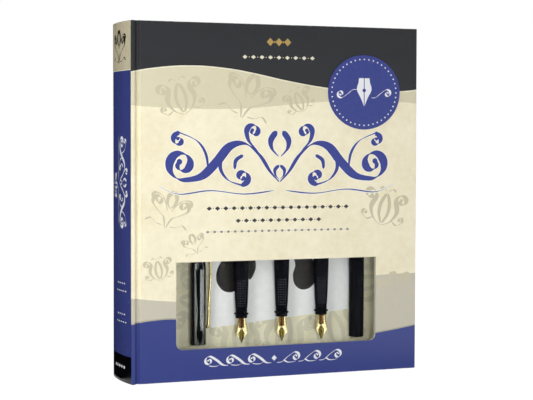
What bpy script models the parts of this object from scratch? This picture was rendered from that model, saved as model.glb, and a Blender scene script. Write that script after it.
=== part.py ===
"""Calligraphy kit: a book-style gift box with a writing set behind the window of its front cover.

The case stands upright on the bottom edges of its boards, with the spine at the left. The front
faces -Y, +X runs along the width to the fore edge, and +Z is up. Lengths are metres. The origin is
the middle of the case's footprint. The front cover opens on the two folds of its groove, one at
the spine's shoulder and one at the board's edge. Each turns a quarter, so the cover lies flat
beside the spine when both are open.
"""

import math

import bmesh
import bpy
from mathutils import Matrix, Vector

# Fit between pieces that touch, and the angle in degrees past which an edge stays sharp
CLEARANCE = 0.0003
SHARP_ANGLE = 35

# Case boards
CASE_WIDTH = 0.2460
CASE_HEIGHT = 0.2790
CASE_DEPTH = 0.0480
BOARD_THICKNESS = 0.0030
BOARD_EDGE_RADIUS = 0.0006
BOARD_OVERHANG = 0.0030

# Spine and its two grooves
SPINE_THICKNESS = 0.0025
SPINE_BULGE = 0.0021
SHOULDER_WIDTH = 0.0032
SHOULDER_RISE = 0.0012
SHOULDER_SQUARENESS_SHARE = 0.6
GROOVE_WIDTH = 0.0038
GROOVE_DEPTH = 0.0015
GROOVE_WRAP = 0.0004
PIVOT_DEPTH = 0.0005
SPINE_ARC_STEPS = 16
SHOULDER_STEPS = 8
GROOVE_STEPS = 8

# Window in the front cover: its sides from the spine corner and from the fore edge, its heights
WINDOW_SPINE_MARGIN = 0.0362
WINDOW_FORE_MARGIN = 0.0364
WINDOW_BOTTOM = 0.0248
WINDOW_TOP = 0.0930
WINDOW_CORNER = 0.0050
WINDOW_CORNER_STEPS = 5
FILM_THICKNESS = 0.0003
FILM_LAP = 0.0080
LINING_THICKNESS = 0.0003
LINING_MARGIN = 0.0040
CUT_OVERRUN = 0.0020

# Round label on the front cover, its centre measured from the fore edge and from the top
LABEL_WIDTH = 0.0640
LABEL_HEIGHT = 0.0600
LABEL_THICKNESS = 0.0003
LABEL_FORE_MARGIN = 0.0479
LABEL_TOP_MARGIN = 0.0525
LABEL_STEPS = 48

# Tray inside the case
TRAY_BOARD = 0.0020

# Folded card platform that carries the writing set
CARD_THICKNESS = 0.0008
CARD_TOP_MARGIN = 0.0022

# Clear blister over the writing set, its sides measured from the window's sides
BLISTER_SHEET = 0.0004
BLISTER_INSIDE_WINDOW = 0.0078
BLISTER_PAST_WINDOW = 0.0035
BLISTER_HEADROOM = 0.0010
BLISTER_FACE_ROOM = 0.0014
BLISTER_FACE_GAP = 0.0008
BLISTER_DRAFT = 0.0012
BLISTER_CORNER = 0.0050
BLISTER_EDGE_RADIUS = 0.0010
BLISTER_FLANGE = 0.0050
BLISTER_CORNER_STEPS = 4

# Writing set: every piece stands on the blister's lower wall
SET_RISE = 0.0020
TURNED_SIDES = 24

# Pen cap, standing on its open end
CAP_FROM_BLISTER = 0.0144
CAP_RADIUS = 0.0065
CAP_CROWN_RADIUS = 0.0059
CAP_BORE = 0.0057
CAP_LENGTH = 0.0660
CAP_END_WALL = 0.0020
CAP_LIP_ROUND = 0.0003
FINIAL_HEIGHT = 0.0042
FINIAL_STEM_RADIUS = 0.0020
FINIAL_STEM_LENGTH = 0.0030
FINIAL_STEPS = 5
LINER_WALL = 0.0007
LINER_LENGTH = 0.0240
CLIP_RING_THICKNESS = 0.0009
CLIP_RING_RADIUS = 0.0061
CLIP_THICKNESS = 0.0009
CLIP_WIDTH = 0.0026
CLIP_BALL_RADIUS = 0.0013
CLIP_BALL_HEIGHT = 0.0148
CLIP_BOW = 0.0038
CLIP_WAIST = 0.0020
CLIP_STEPS = 14
CLIP_CROOK_SHARE = 0.12
CLIP_WAIST_SHARE = 0.8
CLIP_TIP_SHARE = 0.8
CLIP_SECTION_SHARES = (
    (-1, -0.5), (-1, 0.5), (-0.5, 1), (0.5, 1), (1, 0.5), (1, -0.5), (0.5, -1), (-0.5, -1))
CLIP_BALL_STEPS = 6

# Pen barrel, standing on its closed end
BARREL_FROM_BLISTER = 0.0148
BARREL_LENGTH = 0.0860
BARREL_MOUTH_RADIUS = 0.0063
BARREL_END_RADIUS = 0.0060
BARREL_END_ROUND = 0.0010
BARREL_BORE = 0.0050
BARREL_BORE_DEPTH = 0.0720
BARREL_ROUND_STEPS = 3

# Nib units, standing on their nib tips between the cap and the barrel, turned towards the spine
NIB_UNIT_PLACE_SHARES = (0.267, 0.518, 0.770)
NIB_TURN = -18
NIB_TIP_WIDTHS = (0.0009, 0.0011, 0.0015)
NIB_LENGTH = 0.0268
NIB_VISIBLE = 0.0195
NIB_BLANK_WIDTH = 0.0112
NIB_SHOULDER_HEIGHT = 0.0078
NIB_SHEET = 0.0003
NIB_CURVE_RADIUS = 0.0037
NIB_SHOULDER_RADIUS = 0.0056
NIB_SLIT = 0.0002
NIB_BREATHER_RADIUS = 0.0005
NIB_BREATHER_HEIGHT = 0.0120
NIB_HOLLOW_POWER = 1.6
NIB_HOLE_TOP_SHARE = 0.98
NIB_HOLE_ROW_SHARES = (-1.0, -0.6, 0.0, 0.6, 1.0)
NIB_ROWS_BELOW_HOLE = 9
NIB_ROWS_ABOVE_HOLE = 4
NIB_COLUMNS = 7
FEED_RADIUS = 0.0032
FEED_TIP_RADIUS = 0.0011
FEED_TIP_HEIGHT = 0.0050
FEED_FIN_DEPTH = 0.0006
FEED_FINS = 7
FEED_TOP = 0.0300
FEED_SIDES = 12
SECTION_LENGTH = 0.0635
SECTION_LIP_RADIUS = 0.0049
SECTION_LIP_HEIGHT = 0.0026
SECTION_RING_RADIUS = 0.0055
SECTION_RING_HEIGHT = 0.0018
SECTION_WAIST_RADIUS = 0.0048
SECTION_WAIST_HEIGHT = 0.0016
SECTION_COLLAR_RADIUS = 0.00625
SECTION_GRIP_LENGTH = 0.0400
SECTION_COLLAR_LENGTH = 0.0050
SECTION_NIB_SOCKET_DEPTH = 0.0125
SECTION_SPIGOT_RADIUS = 0.0046
SECTION_CARTRIDGE_BORE = 0.0039
SECTION_CARTRIDGE_BORE_DEPTH = 0.0100
THREAD_HEIGHT = 0.0003
THREAD_TURNS = 4

# Instruction book and practice pad, which fill the upper well but for the carton's place
BOOK_HEADROOM = 0.0044
BOOK_BLOCK = 0.0030
BOOK_COVER = 0.0003
BOOK_MARGIN = 0.0040
BOOK_TO_CARTON = 0.0092
STAPLE_LENGTH = 0.0120
STAPLE_WIRE = 0.0006
STAPLE_PLACE_SHARES = (0.27, 0.73)
PAD_SHEETS = 0.0090
PAD_BACKING = 0.0009

# Ink cartridges in their open carton, beside the book
CARTRIDGE_COUNT = 5
CARTRIDGE_RADIUS = 0.00365
CARTRIDGE_LENGTH = 0.0380
CARTRIDGE_NECK_RADIUS = 0.0021
CARTRIDGE_NECK_LENGTH = 0.0030
CARTRIDGE_SHOULDER = 0.0030
CARTRIDGE_SIDES = 16
CARTON_WALL = 0.0005
CARTON_HEIGHT = 0.0270
CARTON_MARGIN = 0.0030

# Places worked out from the sizes above
X_SPINE = -CASE_WIDTH / 2
X_CORNER = X_SPINE + SPINE_BULGE
X_FORE = CASE_WIDTH / 2
Y_FRONT = -CASE_DEPTH / 2
Y_BACK = CASE_DEPTH / 2
X_GROOVE = X_CORNER + SHOULDER_WIDTH
X_BOARD = X_GROOVE + GROOVE_WIDTH
X_SPINE_FOLD = X_GROOVE + CLEARANCE / 2
X_COVER_FOLD = X_BOARD - CLEARANCE / 2
Y_FOLD = Y_FRONT + PIVOT_DEPTH
Y_FRONT_INNER = Y_FRONT + BOARD_THICKNESS
Y_BACK_INNER = Y_BACK - BOARD_THICKNESS
Y_LINING_BACK = Y_FRONT_INNER + CLEARANCE + max(LINING_THICKNESS, FILM_THICKNESS)
Y_TRAY_FRONT = Y_LINING_BACK + CLEARANCE
Y_TRAY_BACK = Y_BACK_INNER - CLEARANCE
X_TRAY_SPINE = X_CORNER + SPINE_THICKNESS + CLEARANCE
X_TRAY_FORE = X_FORE - BOARD_OVERHANG
Z_TRAY_BOTTOM = BOARD_OVERHANG
Z_TRAY_TOP = CASE_HEIGHT - BOARD_OVERHANG
X_INSIDE_SPINE = X_TRAY_SPINE + TRAY_BOARD + CLEARANCE
X_INSIDE_FORE = X_TRAY_FORE - TRAY_BOARD - CLEARANCE
Z_INSIDE_BOTTOM = Z_TRAY_BOTTOM + TRAY_BOARD + CLEARANCE
Z_INSIDE_TOP = Z_TRAY_TOP - TRAY_BOARD - CLEARANCE
Y_FLOOR = Y_TRAY_BACK - TRAY_BOARD
Y_INSIDE_BACK = Y_FLOOR - CLEARANCE
X_WINDOW_LEFT = X_CORNER + WINDOW_SPINE_MARGIN
X_WINDOW_RIGHT = X_FORE - WINDOW_FORE_MARGIN
X_LABEL = X_FORE - LABEL_FORE_MARGIN
Z_LABEL = CASE_HEIGHT - LABEL_TOP_MARGIN
X_BLISTER_LEFT = X_WINDOW_LEFT + BLISTER_INSIDE_WINDOW
X_BLISTER_RIGHT = X_WINDOW_RIGHT + BLISTER_PAST_WINDOW
X_CAP = X_BLISTER_LEFT + CAP_FROM_BLISTER
X_BARREL = X_BLISTER_RIGHT - BARREL_FROM_BLISTER
SET_BASE = WINDOW_BOTTOM + SET_RISE
CAP_ASSEMBLY_LENGTH = CAP_LENGTH + CLIP_RING_THICKNESS + FINIAL_HEIGHT + 2 * CLEARANCE
SET_HEIGHT = max(BARREL_LENGTH, NIB_VISIBLE + SECTION_LENGTH, CAP_ASSEMBLY_LENGTH)
SET_DEPTH = 2 * max(CAP_RADIUS, BARREL_MOUTH_RADIUS, SECTION_COLLAR_RADIUS)
Z_BLISTER_TOP = SET_BASE + SET_HEIGHT + BLISTER_HEADROOM
Y_BLISTER_FACE = Y_LINING_BACK + BLISTER_FACE_GAP + BLISTER_SHEET
Y_SET_BACK = Y_BLISTER_FACE + BLISTER_FACE_ROOM + SET_DEPTH
Y_CARD = Y_SET_BACK + CLEARANCE
CARD_TOP = Z_BLISTER_TOP + BLISTER_FLANGE + CARD_TOP_MARGIN
Z_WELL = CARD_TOP + CLEARANCE
CARTRIDGE_PITCH = 2 * CARTRIDGE_RADIUS + CLEARANCE
X_CARTON_RIGHT = X_INSIDE_FORE - CARTON_MARGIN
X_CARTON_LEFT = X_CARTON_RIGHT - CARTRIDGE_PITCH * CARTRIDGE_COUNT - CLEARANCE - 2 * CARTON_WALL
X_BOOK_LEFT = X_INSIDE_SPINE + BOOK_MARGIN
X_BOOK_RIGHT = X_CARTON_LEFT - BOOK_TO_CARTON
Z_BOOK_TOP = Z_INSIDE_TOP - BOOK_HEADROOM


def material(name, colour, roughness, metallic=0.0, alpha=1.0):
    """A Principled material in the piece's own colour."""
    made = bpy.data.materials.new(name)
    made.use_nodes = True
    shader = made.node_tree.nodes["Principled BSDF"]
    shader.inputs["Base Color"].default_value = (*colour, 1.0)
    shader.inputs["Roughness"].default_value = roughness
    shader.inputs["Metallic"].default_value = metallic
    shader.inputs["Alpha"].default_value = alpha
    return made


def empty(name, place, parent=None):
    """A guide that carries pieces. A moving group's guide lies on its joint's axis."""
    guide = bpy.data.objects.new(name, None)
    bpy.context.collection.objects.link(guide)
    attach(guide, place, parent)
    return guide


def attach(obj, place, parent):
    """Put an object at a world place, under a parent that has no rotation of its own."""
    if parent is None:
        obj.location = Vector(place)
        return
    obj.parent = parent
    obj.location = Vector(place) - world_place(parent)


def world_place(obj):
    """World place of a guide, as the sum of the places down its line of parents."""
    place = obj.location.copy()
    while obj.parent is not None:
        obj = obj.parent
        place += obj.location
    return place


def finish(name, bm, surface, place=(0.0, 0.0, 0.0), parent=None, smooth=True):
    """Turn a bmesh modelled about its own place into a named object."""
    bmesh.ops.recalc_face_normals(bm, faces=bm.faces)
    mesh = bpy.data.meshes.new(name)
    bm.to_mesh(mesh)
    bm.free()
    return place_mesh(name, mesh, surface, place, parent, smooth)


def place_mesh(name, mesh, surface, place, parent, smooth=True):
    """Name a mesh's object. Copies of a repeated piece share one mesh."""
    obj = bpy.data.objects.new(name, mesh)
    bpy.context.collection.objects.link(obj)
    if not mesh.materials:
        mesh.materials.append(surface)
    if smooth:
        mesh.shade_smooth()
        mesh.set_sharp_from_angle(angle=math.radians(SHARP_ANGLE))
    attach(obj, place, parent)
    return obj


def box_mesh(low, high):
    """A closed box between two corners."""
    bm = bmesh.new()
    bmesh.ops.create_cube(bm, size=1.0)
    low = Vector(low)
    high = Vector(high)
    size = high - low
    for vert in bm.verts:
        vert.co = Vector(a * b for a, b in zip(vert.co, size)) + (low + high) / 2
    return bm


def box(name, low, high, surface, parent, place=(0.0, 0.0, 0.0)):
    """A board or block, given by its world corners and modelled about its own place."""
    shift = Vector(place)
    bm = box_mesh(Vector(low) - shift, Vector(high) - shift)
    return finish(name, bm, surface, place, parent, smooth=False)


def prism(outline, start, end, axis):
    """Extrude a flat outline. Its points are (x, y) along Z, or (x, z) along Y."""
    bm = bmesh.new()
    if axis == "Z":
        ring = [bm.verts.new((u, v, start)) for u, v in outline]
        step = Vector((0.0, 0.0, end - start))
    else:
        ring = [bm.verts.new((u, start, v)) for u, v in outline]
        step = Vector((0.0, end - start, 0.0))
    face = bm.faces.new(ring)
    grown = bmesh.ops.extrude_face_region(bm, geom=[face])
    moved = [item for item in grown["geom"] if isinstance(item, bmesh.types.BMVert)]
    bmesh.ops.translate(bm, verts=moved, vec=step)
    return bm


def revolve(profile, sides):
    """Turn an (r, z) profile about Z. A point at r = 0 closes that end at a pole."""
    bm = bmesh.new()
    rings = []
    for radius, height in profile:
        if radius == 0.0:
            rings.append([bm.verts.new((0.0, 0.0, height))])
            continue
        turn = [2 * math.pi * i / sides for i in range(sides)]
        rings.append([bm.verts.new((radius * math.cos(a), radius * math.sin(a), height)) for a in turn])
    for first, second in zip(rings, rings[1:]):
        skin(bm, first, second)
    if len(rings[0]) > 1:
        skin(bm, rings[-1], rings[0])
    return bm


def skin(bm, first, second):
    """Join two rings, or a ring and a pole, with faces."""
    count = max(len(first), len(second))
    for i in range(count):
        j = (i + 1) % count
        if len(first) == 1:
            bm.faces.new((first[0], second[i], second[j]))
        elif len(second) == 1:
            bm.faces.new((first[i], second[0], first[j]))
        else:
            bm.faces.new((first[i], second[i], second[j], first[j]))


def turned_mesh(name, profile, sides):
    """A turned shape as a mesh that several objects can share."""
    bm = revolve(profile, sides)
    bmesh.ops.recalc_face_normals(bm, faces=bm.faces)
    mesh = bpy.data.meshes.new(name)
    bm.to_mesh(mesh)
    bm.free()
    return mesh


def arc(centre, radius, start, end, steps):
    """Points on an arc, from one angle to another in degrees, both ends included."""
    points = []
    for i in range(steps + 1):
        angle = math.radians(start + (end - start) * i / steps)
        points.append((centre[0] + radius * math.cos(angle), centre[1] + radius * math.sin(angle)))
    return points


def cut(obj, cutter, operation="DIFFERENCE"):
    """Cut or join one object with another, which is then only a guide."""
    cutter.hide_render = True
    cutter.display_type = "WIRE"
    change = obj.modifiers.new("cut", "BOOLEAN")
    change.operation = operation
    change.object = cutter
    change.solver = "EXACT"


def round_edges(obj, radius):
    """Soften a board's wrapped edges."""
    bevel = obj.modifiers.new("wrapped edge", "BEVEL")
    bevel.width = radius
    bevel.segments = 2
    bevel.limit_method = "ANGLE"


def shoulder_points():
    """The proud bead of the front shoulder, from the groove round to the spine's corner."""
    half = SHOULDER_WIDTH / 2
    points = []
    for i in range(SHOULDER_STEPS + 1):
        angle = math.pi * i / SHOULDER_STEPS
        across = math.copysign(abs(math.cos(angle)) ** SHOULDER_SQUARENESS_SHARE, math.cos(angle))
        rise = abs(math.sin(angle)) ** SHOULDER_SQUARENESS_SHARE
        points.append((X_CORNER + half + half * across, Y_FRONT - SHOULDER_RISE * rise))
    return points


def spine_arc(inset, start, end):
    """Points down the spine's rounded back, set in from its outer face, from y = start to end."""
    radius = (SPINE_BULGE ** 2 + Y_BACK ** 2) / (2 * SPINE_BULGE)
    centre = X_SPINE + radius
    radius -= inset
    points = []
    for i in range(SPINE_ARC_STEPS + 1):
        y = start + (end - start) * i / SPINE_ARC_STEPS
        points.append((centre - math.sqrt(radius ** 2 - y ** 2), y))
    return points


def make_spine(case, paper):
    """The rounded spine board with a shoulder along each groove."""
    bead = shoulder_points()
    back_bead = [(x, -y) for x, y in reversed(bead)]
    inner_front = Y_FRONT + SPINE_THICKNESS
    inner_back = Y_BACK - SPINE_THICKNESS
    outline = [(X_GROOVE, inner_front)] + bead
    outline += spine_arc(0.0, Y_FRONT, Y_BACK)[1:-1]
    outline += back_bead + [(X_GROOVE, inner_back)]
    outline += list(reversed(spine_arc(SPINE_THICKNESS, inner_front, inner_back)))
    finish("spine", prism(outline, 0.0, CASE_HEIGHT, "Z"), paper, parent=case)


def groove_outline(sign):
    """The wrap dipping into a groove between the two folds: sign 1 in front and -1 at the back."""
    left = X_GROOVE + CLEARANCE
    right = X_BOARD - CLEARANCE
    dips = []
    for i in range(GROOVE_STEPS + 1):
        share = i / GROOVE_STEPS
        depth = PIVOT_DEPTH + GROOVE_DEPTH * math.sin(math.pi * share)
        dips.append((left + (right - left) * share, depth))
    outer = [(x, sign * (Y_FRONT + depth)) for x, depth in dips]
    inner = [(x, sign * (Y_FRONT + depth + GROOVE_WRAP)) for x, depth in dips]
    return outer + list(reversed(inner))


def make_boards(case, fold, cover, paper):
    """Back cover, the two groove strips, and the front cover with its window cut through."""
    back = box("back_cover", (X_BOARD, Y_BACK_INNER, 0.0), (X_FORE, Y_BACK, CASE_HEIGHT), paper, case)
    round_edges(back, BOARD_EDGE_RADIUS)
    finish("back_joint", prism(groove_outline(-1), 0.0, CASE_HEIGHT, "Z"), paper, parent=case)

    spine_fold = Vector((X_SPINE_FOLD, Y_FOLD, 0.0))
    strip = [(x - spine_fold.x, y - spine_fold.y) for x, y in groove_outline(1)]
    finish("front_joint", prism(strip, 0.0, CASE_HEIGHT, "Z"), paper, spine_fold, fold)

    cover_fold = (X_COVER_FOLD, Y_FOLD, 0.0)
    low = (X_BOARD, Y_FRONT, 0.0)
    high = (X_FORE, Y_FRONT_INNER, CASE_HEIGHT)
    front = box("front_cover", low, high, paper, cover, cover_fold)
    round_edges(front, BOARD_EDGE_RADIUS)
    cut(front, window_cutter("window_cut", Y_FRONT, Y_FRONT_INNER, 0.0, paper, cover))


def window_cutter(name, y_low, y_high, lap, surface, parent):
    """A guide in the window's shape, larger all round by the lap, that cuts right through."""
    left = X_WINDOW_LEFT - lap
    right = X_WINDOW_RIGHT + lap
    low = WINDOW_BOTTOM - lap
    high = WINDOW_TOP + lap
    r = WINDOW_CORNER
    outline = [(left, high)]
    outline += arc((left + r, low + r), r, 180, 270, WINDOW_CORNER_STEPS)
    outline += arc((right - r, low + r), r, 270, 360, WINDOW_CORNER_STEPS)
    outline.append((right, high))
    place = world_place(parent)
    outline = [(x - place.x, z - place.z) for x, z in outline]
    bm = prism(outline, y_low - CUT_OVERRUN - place.y, y_high + CUT_OVERRUN - place.y, "Y")
    return finish(name, bm, surface, place, parent, smooth=False)


def make_window_pieces(cover, film, lining, label_paper):
    """Film glued behind the window, lining paper round the film, and the label on the front."""
    y_seat = Y_FRONT_INNER + CLEARANCE
    place = world_place(cover)
    lap = FILM_LAP
    low = (X_WINDOW_LEFT - lap, y_seat, WINDOW_BOTTOM - lap)
    high = (X_WINDOW_RIGHT + lap, y_seat + FILM_THICKNESS, WINDOW_TOP + lap)
    box("window_film", low, high, film, cover, place)

    low = (X_BOARD + LINING_MARGIN, y_seat, LINING_MARGIN)
    high = (X_FORE - LINING_MARGIN, y_seat + LINING_THICKNESS, CASE_HEIGHT - LINING_MARGIN)
    sheet = box("front_lining", low, high, lining, cover, place)
    room = lap + CLEARANCE
    hole_low = (X_WINDOW_LEFT - room, y_seat - CUT_OVERRUN, WINDOW_BOTTOM - room)
    hole_high = (X_WINDOW_RIGHT + room, y_seat + CUT_OVERRUN, WINDOW_TOP + room)
    cut(sheet, box("lining_cut", hole_low, hole_high, lining, cover, place))

    centre = Vector((X_LABEL, Y_FRONT - CLEARANCE, Z_LABEL))
    rim = []
    for i in range(LABEL_STEPS):
        angle = 2 * math.pi * i / LABEL_STEPS
        rim.append((LABEL_WIDTH / 2 * math.cos(angle), LABEL_HEIGHT / 2 * math.sin(angle)))
    finish("round_label", prism(rim, -LABEL_THICKNESS, 0.0, "Y"), label_paper, centre, cover)


def make_tray(case, board):
    """Tray glued to the back cover and the spine: a floor inside four walls."""
    box("tray_wall_bottom", (X_TRAY_SPINE, Y_TRAY_FRONT, Z_TRAY_BOTTOM),
        (X_TRAY_FORE, Y_TRAY_BACK, Z_TRAY_BOTTOM + TRAY_BOARD), board, case)
    box("tray_wall_top", (X_TRAY_SPINE, Y_TRAY_FRONT, Z_TRAY_TOP - TRAY_BOARD),
        (X_TRAY_FORE, Y_TRAY_BACK, Z_TRAY_TOP), board, case)
    box("tray_wall_spine", (X_TRAY_SPINE, Y_TRAY_FRONT, Z_INSIDE_BOTTOM),
        (X_TRAY_SPINE + TRAY_BOARD, Y_TRAY_BACK, Z_INSIDE_TOP), board, case)
    box("tray_wall_fore", (X_TRAY_FORE - TRAY_BOARD, Y_TRAY_FRONT, Z_INSIDE_BOTTOM),
        (X_TRAY_FORE, Y_TRAY_BACK, Z_INSIDE_TOP), board, case)
    box("tray_floor", (X_INSIDE_SPINE, Y_FLOOR, Z_INSIDE_BOTTOM),
        (X_INSIDE_FORE, Y_TRAY_BACK, Z_INSIDE_TOP), board, case)


def open_box(name, low, high, wall, open_side, surface, parent):
    """A folded box with one open side, made by insetting that side's face and pushing it in."""
    bm = box_mesh(low, high)
    face = max(bm.faces, key=lambda f: f.calc_center_median().dot(Vector(open_side)))
    bmesh.ops.inset_region(bm, faces=[face], thickness=wall)
    depth = abs((Vector(high) - Vector(low)).dot(Vector(open_side))) - wall
    grown = bmesh.ops.extrude_face_region(bm, geom=[face])
    moved = [item for item in grown["geom"] if isinstance(item, bmesh.types.BMVert)]
    bmesh.ops.translate(bm, verts=moved, vec=Vector(open_side) * -depth)
    bmesh.ops.delete(bm, geom=[face], context="FACES")
    return finish(name, bm, surface, parent=parent, smooth=False)


def make_card(case, card):
    """Folded card platform: a front panel with four flanges back to the tray floor."""
    low = (X_INSIDE_SPINE, Y_CARD, Z_INSIDE_BOTTOM)
    high = (X_INSIDE_FORE, Y_INSIDE_BACK, CARD_TOP)
    open_box("insert_card", low, high, CARD_THICKNESS, (0.0, 1.0, 0.0), card, case)


def rounded_loop(bm, left, right, low, high, radius, y):
    """A rectangular loop of vertices with round corners, facing -Y."""
    loop = []
    corners = (((right - radius, low + radius), 270), ((right - radius, high - radius), 0),
               ((left + radius, high - radius), 90), ((left + radius, low + radius), 180))
    for centre, start in corners:
        for x, z in arc(centre, radius, start, start + 90, BLISTER_CORNER_STEPS):
            loop.append(bm.verts.new((x, y, z)))
    return loop


def make_blister(case, clear):
    """Clear formed sheet: a drafted dome over the writing set, with a flange on the card."""
    low = SET_BASE - CLEARANCE
    y_seat = Y_CARD - CLEARANCE
    bm = bmesh.new()
    # Growth of each loop past the dome's sides, its lower growth and its depth: the pens stand on
    # the lower wall, so that one has no draft
    steps = ((BLISTER_FLANGE, BLISTER_FLANGE - BLISTER_DRAFT, y_seat), (BLISTER_DRAFT, 0.0, y_seat),
             (0.0, 0.0, Y_BLISTER_FACE + BLISTER_EDGE_RADIUS),
             (-BLISTER_EDGE_RADIUS, -BLISTER_EDGE_RADIUS, Y_BLISTER_FACE))
    loops = []
    for grow, grow_low, y in steps:
        sides = (X_BLISTER_LEFT - grow, X_BLISTER_RIGHT + grow, low - grow_low, Z_BLISTER_TOP + grow)
        loops.append(rounded_loop(bm, *sides, BLISTER_CORNER + grow, y))
    for first, second in zip(loops, loops[1:]):
        skin(bm, first, second)
    bm.faces.new(loops[-1])
    bmesh.ops.recalc_face_normals(bm, faces=bm.faces)
    if sum(face.normal.y for face in bm.faces) > 0.0:
        bmesh.ops.reverse_faces(bm, faces=bm.faces)
    mesh = bpy.data.meshes.new("pen_blister")
    bm.to_mesh(mesh)
    bm.free()
    sheet = place_mesh("pen_blister", mesh, clear, (0.0, 0.0, 0.0), case)
    wall = sheet.modifiers.new("sheet", "SOLIDIFY")
    wall.thickness = BLISTER_SHEET
    wall.offset = 1.0
    wall.use_even_offset = True


def make_cap(case, gloss, gold, liner_plastic):
    """Pen cap on its open end: shell, inner sleeve, clip clamped under the finial."""
    seat = empty("cap_seat", (X_CAP, Y_SET_BACK - CAP_RADIUS, SET_BASE), case)
    place = world_place(seat)
    top = CAP_LENGTH
    bore = FINIAL_STEM_RADIUS + CLEARANCE
    socket_floor = top - FINIAL_STEM_LENGTH + CLEARANCE
    inner_top = top - FINIAL_STEM_LENGTH - CAP_END_WALL
    shell = [(0.0, inner_top), (CAP_BORE, inner_top), (CAP_BORE, 0.0)]
    shell += [(CAP_RADIUS - CAP_LIP_ROUND, 0.0), (CAP_RADIUS, CAP_LIP_ROUND)]
    shell += [(CAP_RADIUS, top - CAP_CROWN_RADIUS), (CAP_CROWN_RADIUS, top)]
    shell += [(bore, top), (bore, socket_floor), (0.0, socket_floor)]
    finish("pen_cap", revolve(shell, TURNED_SIDES), gloss, place, seat)

    ring_low = top + CLEARANCE
    ring_high = ring_low + CLIP_RING_THICKNESS
    finial_low = ring_high + CLEARANCE
    stem_low = finial_low - FINIAL_STEM_LENGTH
    finial = [(0.0, stem_low), (FINIAL_STEM_RADIUS, stem_low), (FINIAL_STEM_RADIUS, finial_low)]
    for i in range(FINIAL_STEPS):
        angle = math.pi / 2 * i / FINIAL_STEPS
        finial.append((CAP_CROWN_RADIUS * math.cos(angle), finial_low + FINIAL_HEIGHT * math.sin(angle)))
    finial.append((0.0, finial_low + FINIAL_HEIGHT))
    finish("cap_finial", revolve(finial, TURNED_SIDES), gloss, place, seat)

    outer = CAP_BORE - CLEARANCE
    liner_top = inner_top - CLEARANCE
    liner_low = liner_top - LINER_LENGTH
    liner = [(outer - LINER_WALL, liner_low), (outer, liner_low), (outer, liner_top)]
    liner.append((outer - LINER_WALL, liner_top))
    finish("cap_liner", revolve(liner, TURNED_SIDES), liner_plastic, place, seat)

    edge = CLIP_RING_RADIUS
    ring = [(bore, ring_low), (edge, ring_low), (edge, ring_high), (bore, ring_high)]
    collar = finish("clip_ring_guide", revolve(ring, TURNED_SIDES), gold, place, seat)
    clip = finish("cap_clip", clip_mesh((ring_low + ring_high) / 2), gold, place, seat)
    cut(clip, collar, "UNION")


def clip_path(ring_height):
    """Centre line of the clip's arm: out from its ring, bowed down beside the cap, in to the ball."""
    clear = CAP_RADIUS + CLEARANCE
    ball = (clear + CLIP_BALL_RADIUS, CLIP_BALL_HEIGHT)
    drop = ring_height - CLIP_BALL_HEIGHT
    path = []
    for i in range(CLIP_STEPS + 1):
        share = i / CLIP_STEPS
        if share < CLIP_CROOK_SHARE:
            turn = share / CLIP_CROOK_SHARE
            reach = clear + CLIP_BOW - CLIP_RING_RADIUS
            out = CLIP_RING_RADIUS + reach * turn - CLIP_THICKNESS * (1 - turn)
            path.append((out, ring_height - drop * CLIP_CROOK_SHARE * turn ** 3))
            continue
        run = (share - CLIP_CROOK_SHARE) / (1 - CLIP_CROOK_SHARE)
        narrowing = math.sin(math.pi / 2 * min(run / CLIP_WAIST_SHARE, 1.0)) ** 2
        out = clear + CLIP_BOW + (CLIP_WAIST - CLIP_BOW) * narrowing
        tip = max(0.0, (run - CLIP_TIP_SHARE) / (1 - CLIP_TIP_SHARE))
        out += (ball[0] - out) * tip ** 2
        path.append((out, ring_height - drop * share))
    return path


def clip_mesh(ring_height):
    """The arm is one strip of eight-sided rings that swells into the ball at its tip."""
    path = clip_path(ring_height)
    bm = bmesh.new()
    rings = []
    for i, (out, height) in enumerate(path):
        before = Vector(path[max(i - 1, 0)])
        after = Vector(path[min(i + 1, len(path) - 1)])
        along = (after - before).normalized()
        across = Vector((-along.y, along.x))
        ring = []
        for side, wide in CLIP_SECTION_SHARES:
            offset = across * (side * CLIP_THICKNESS / 2)
            ring.append(bm.verts.new((out + offset.x, wide * CLIP_WIDTH / 2, height + offset.y)))
        rings.append(ring)
    tip = path[-1]
    sides = len(CLIP_SECTION_SHARES)
    for turn in range(1, CLIP_BALL_STEPS):
        angle = math.pi * turn / CLIP_BALL_STEPS
        height = tip[1] - CLIP_BALL_RADIUS * (1 - math.cos(angle))
        radius = CLIP_BALL_RADIUS * math.sin(angle)
        ring = []
        for k in range(sides):
            bearing = 2 * math.pi * (k + 0.5) / sides
            out = tip[0] + radius * math.cos(bearing)
            ring.append(bm.verts.new((out, radius * math.sin(bearing), height)))
        rings.append(order_like(rings[-1], ring))
    for first, second in zip(rings, rings[1:]):
        skin(bm, first, second)
    bm.faces.new(rings[0])
    bm.faces.new(rings[-1])
    return bm


def order_like(pattern, ring):
    """Turn or reverse a ring's order so that its vertices run beside those of the ring before it."""
    best = None
    count = len(ring)
    for candidate in (ring, list(reversed(ring))):
        for shift in range(count):
            turned = candidate[shift:] + candidate[:shift]
            miss = sum((a.co - b.co).length for a, b in zip(pattern, turned))
            if best is None or miss < best[0]:
                best = (miss, turned)
    return best[1]


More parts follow.
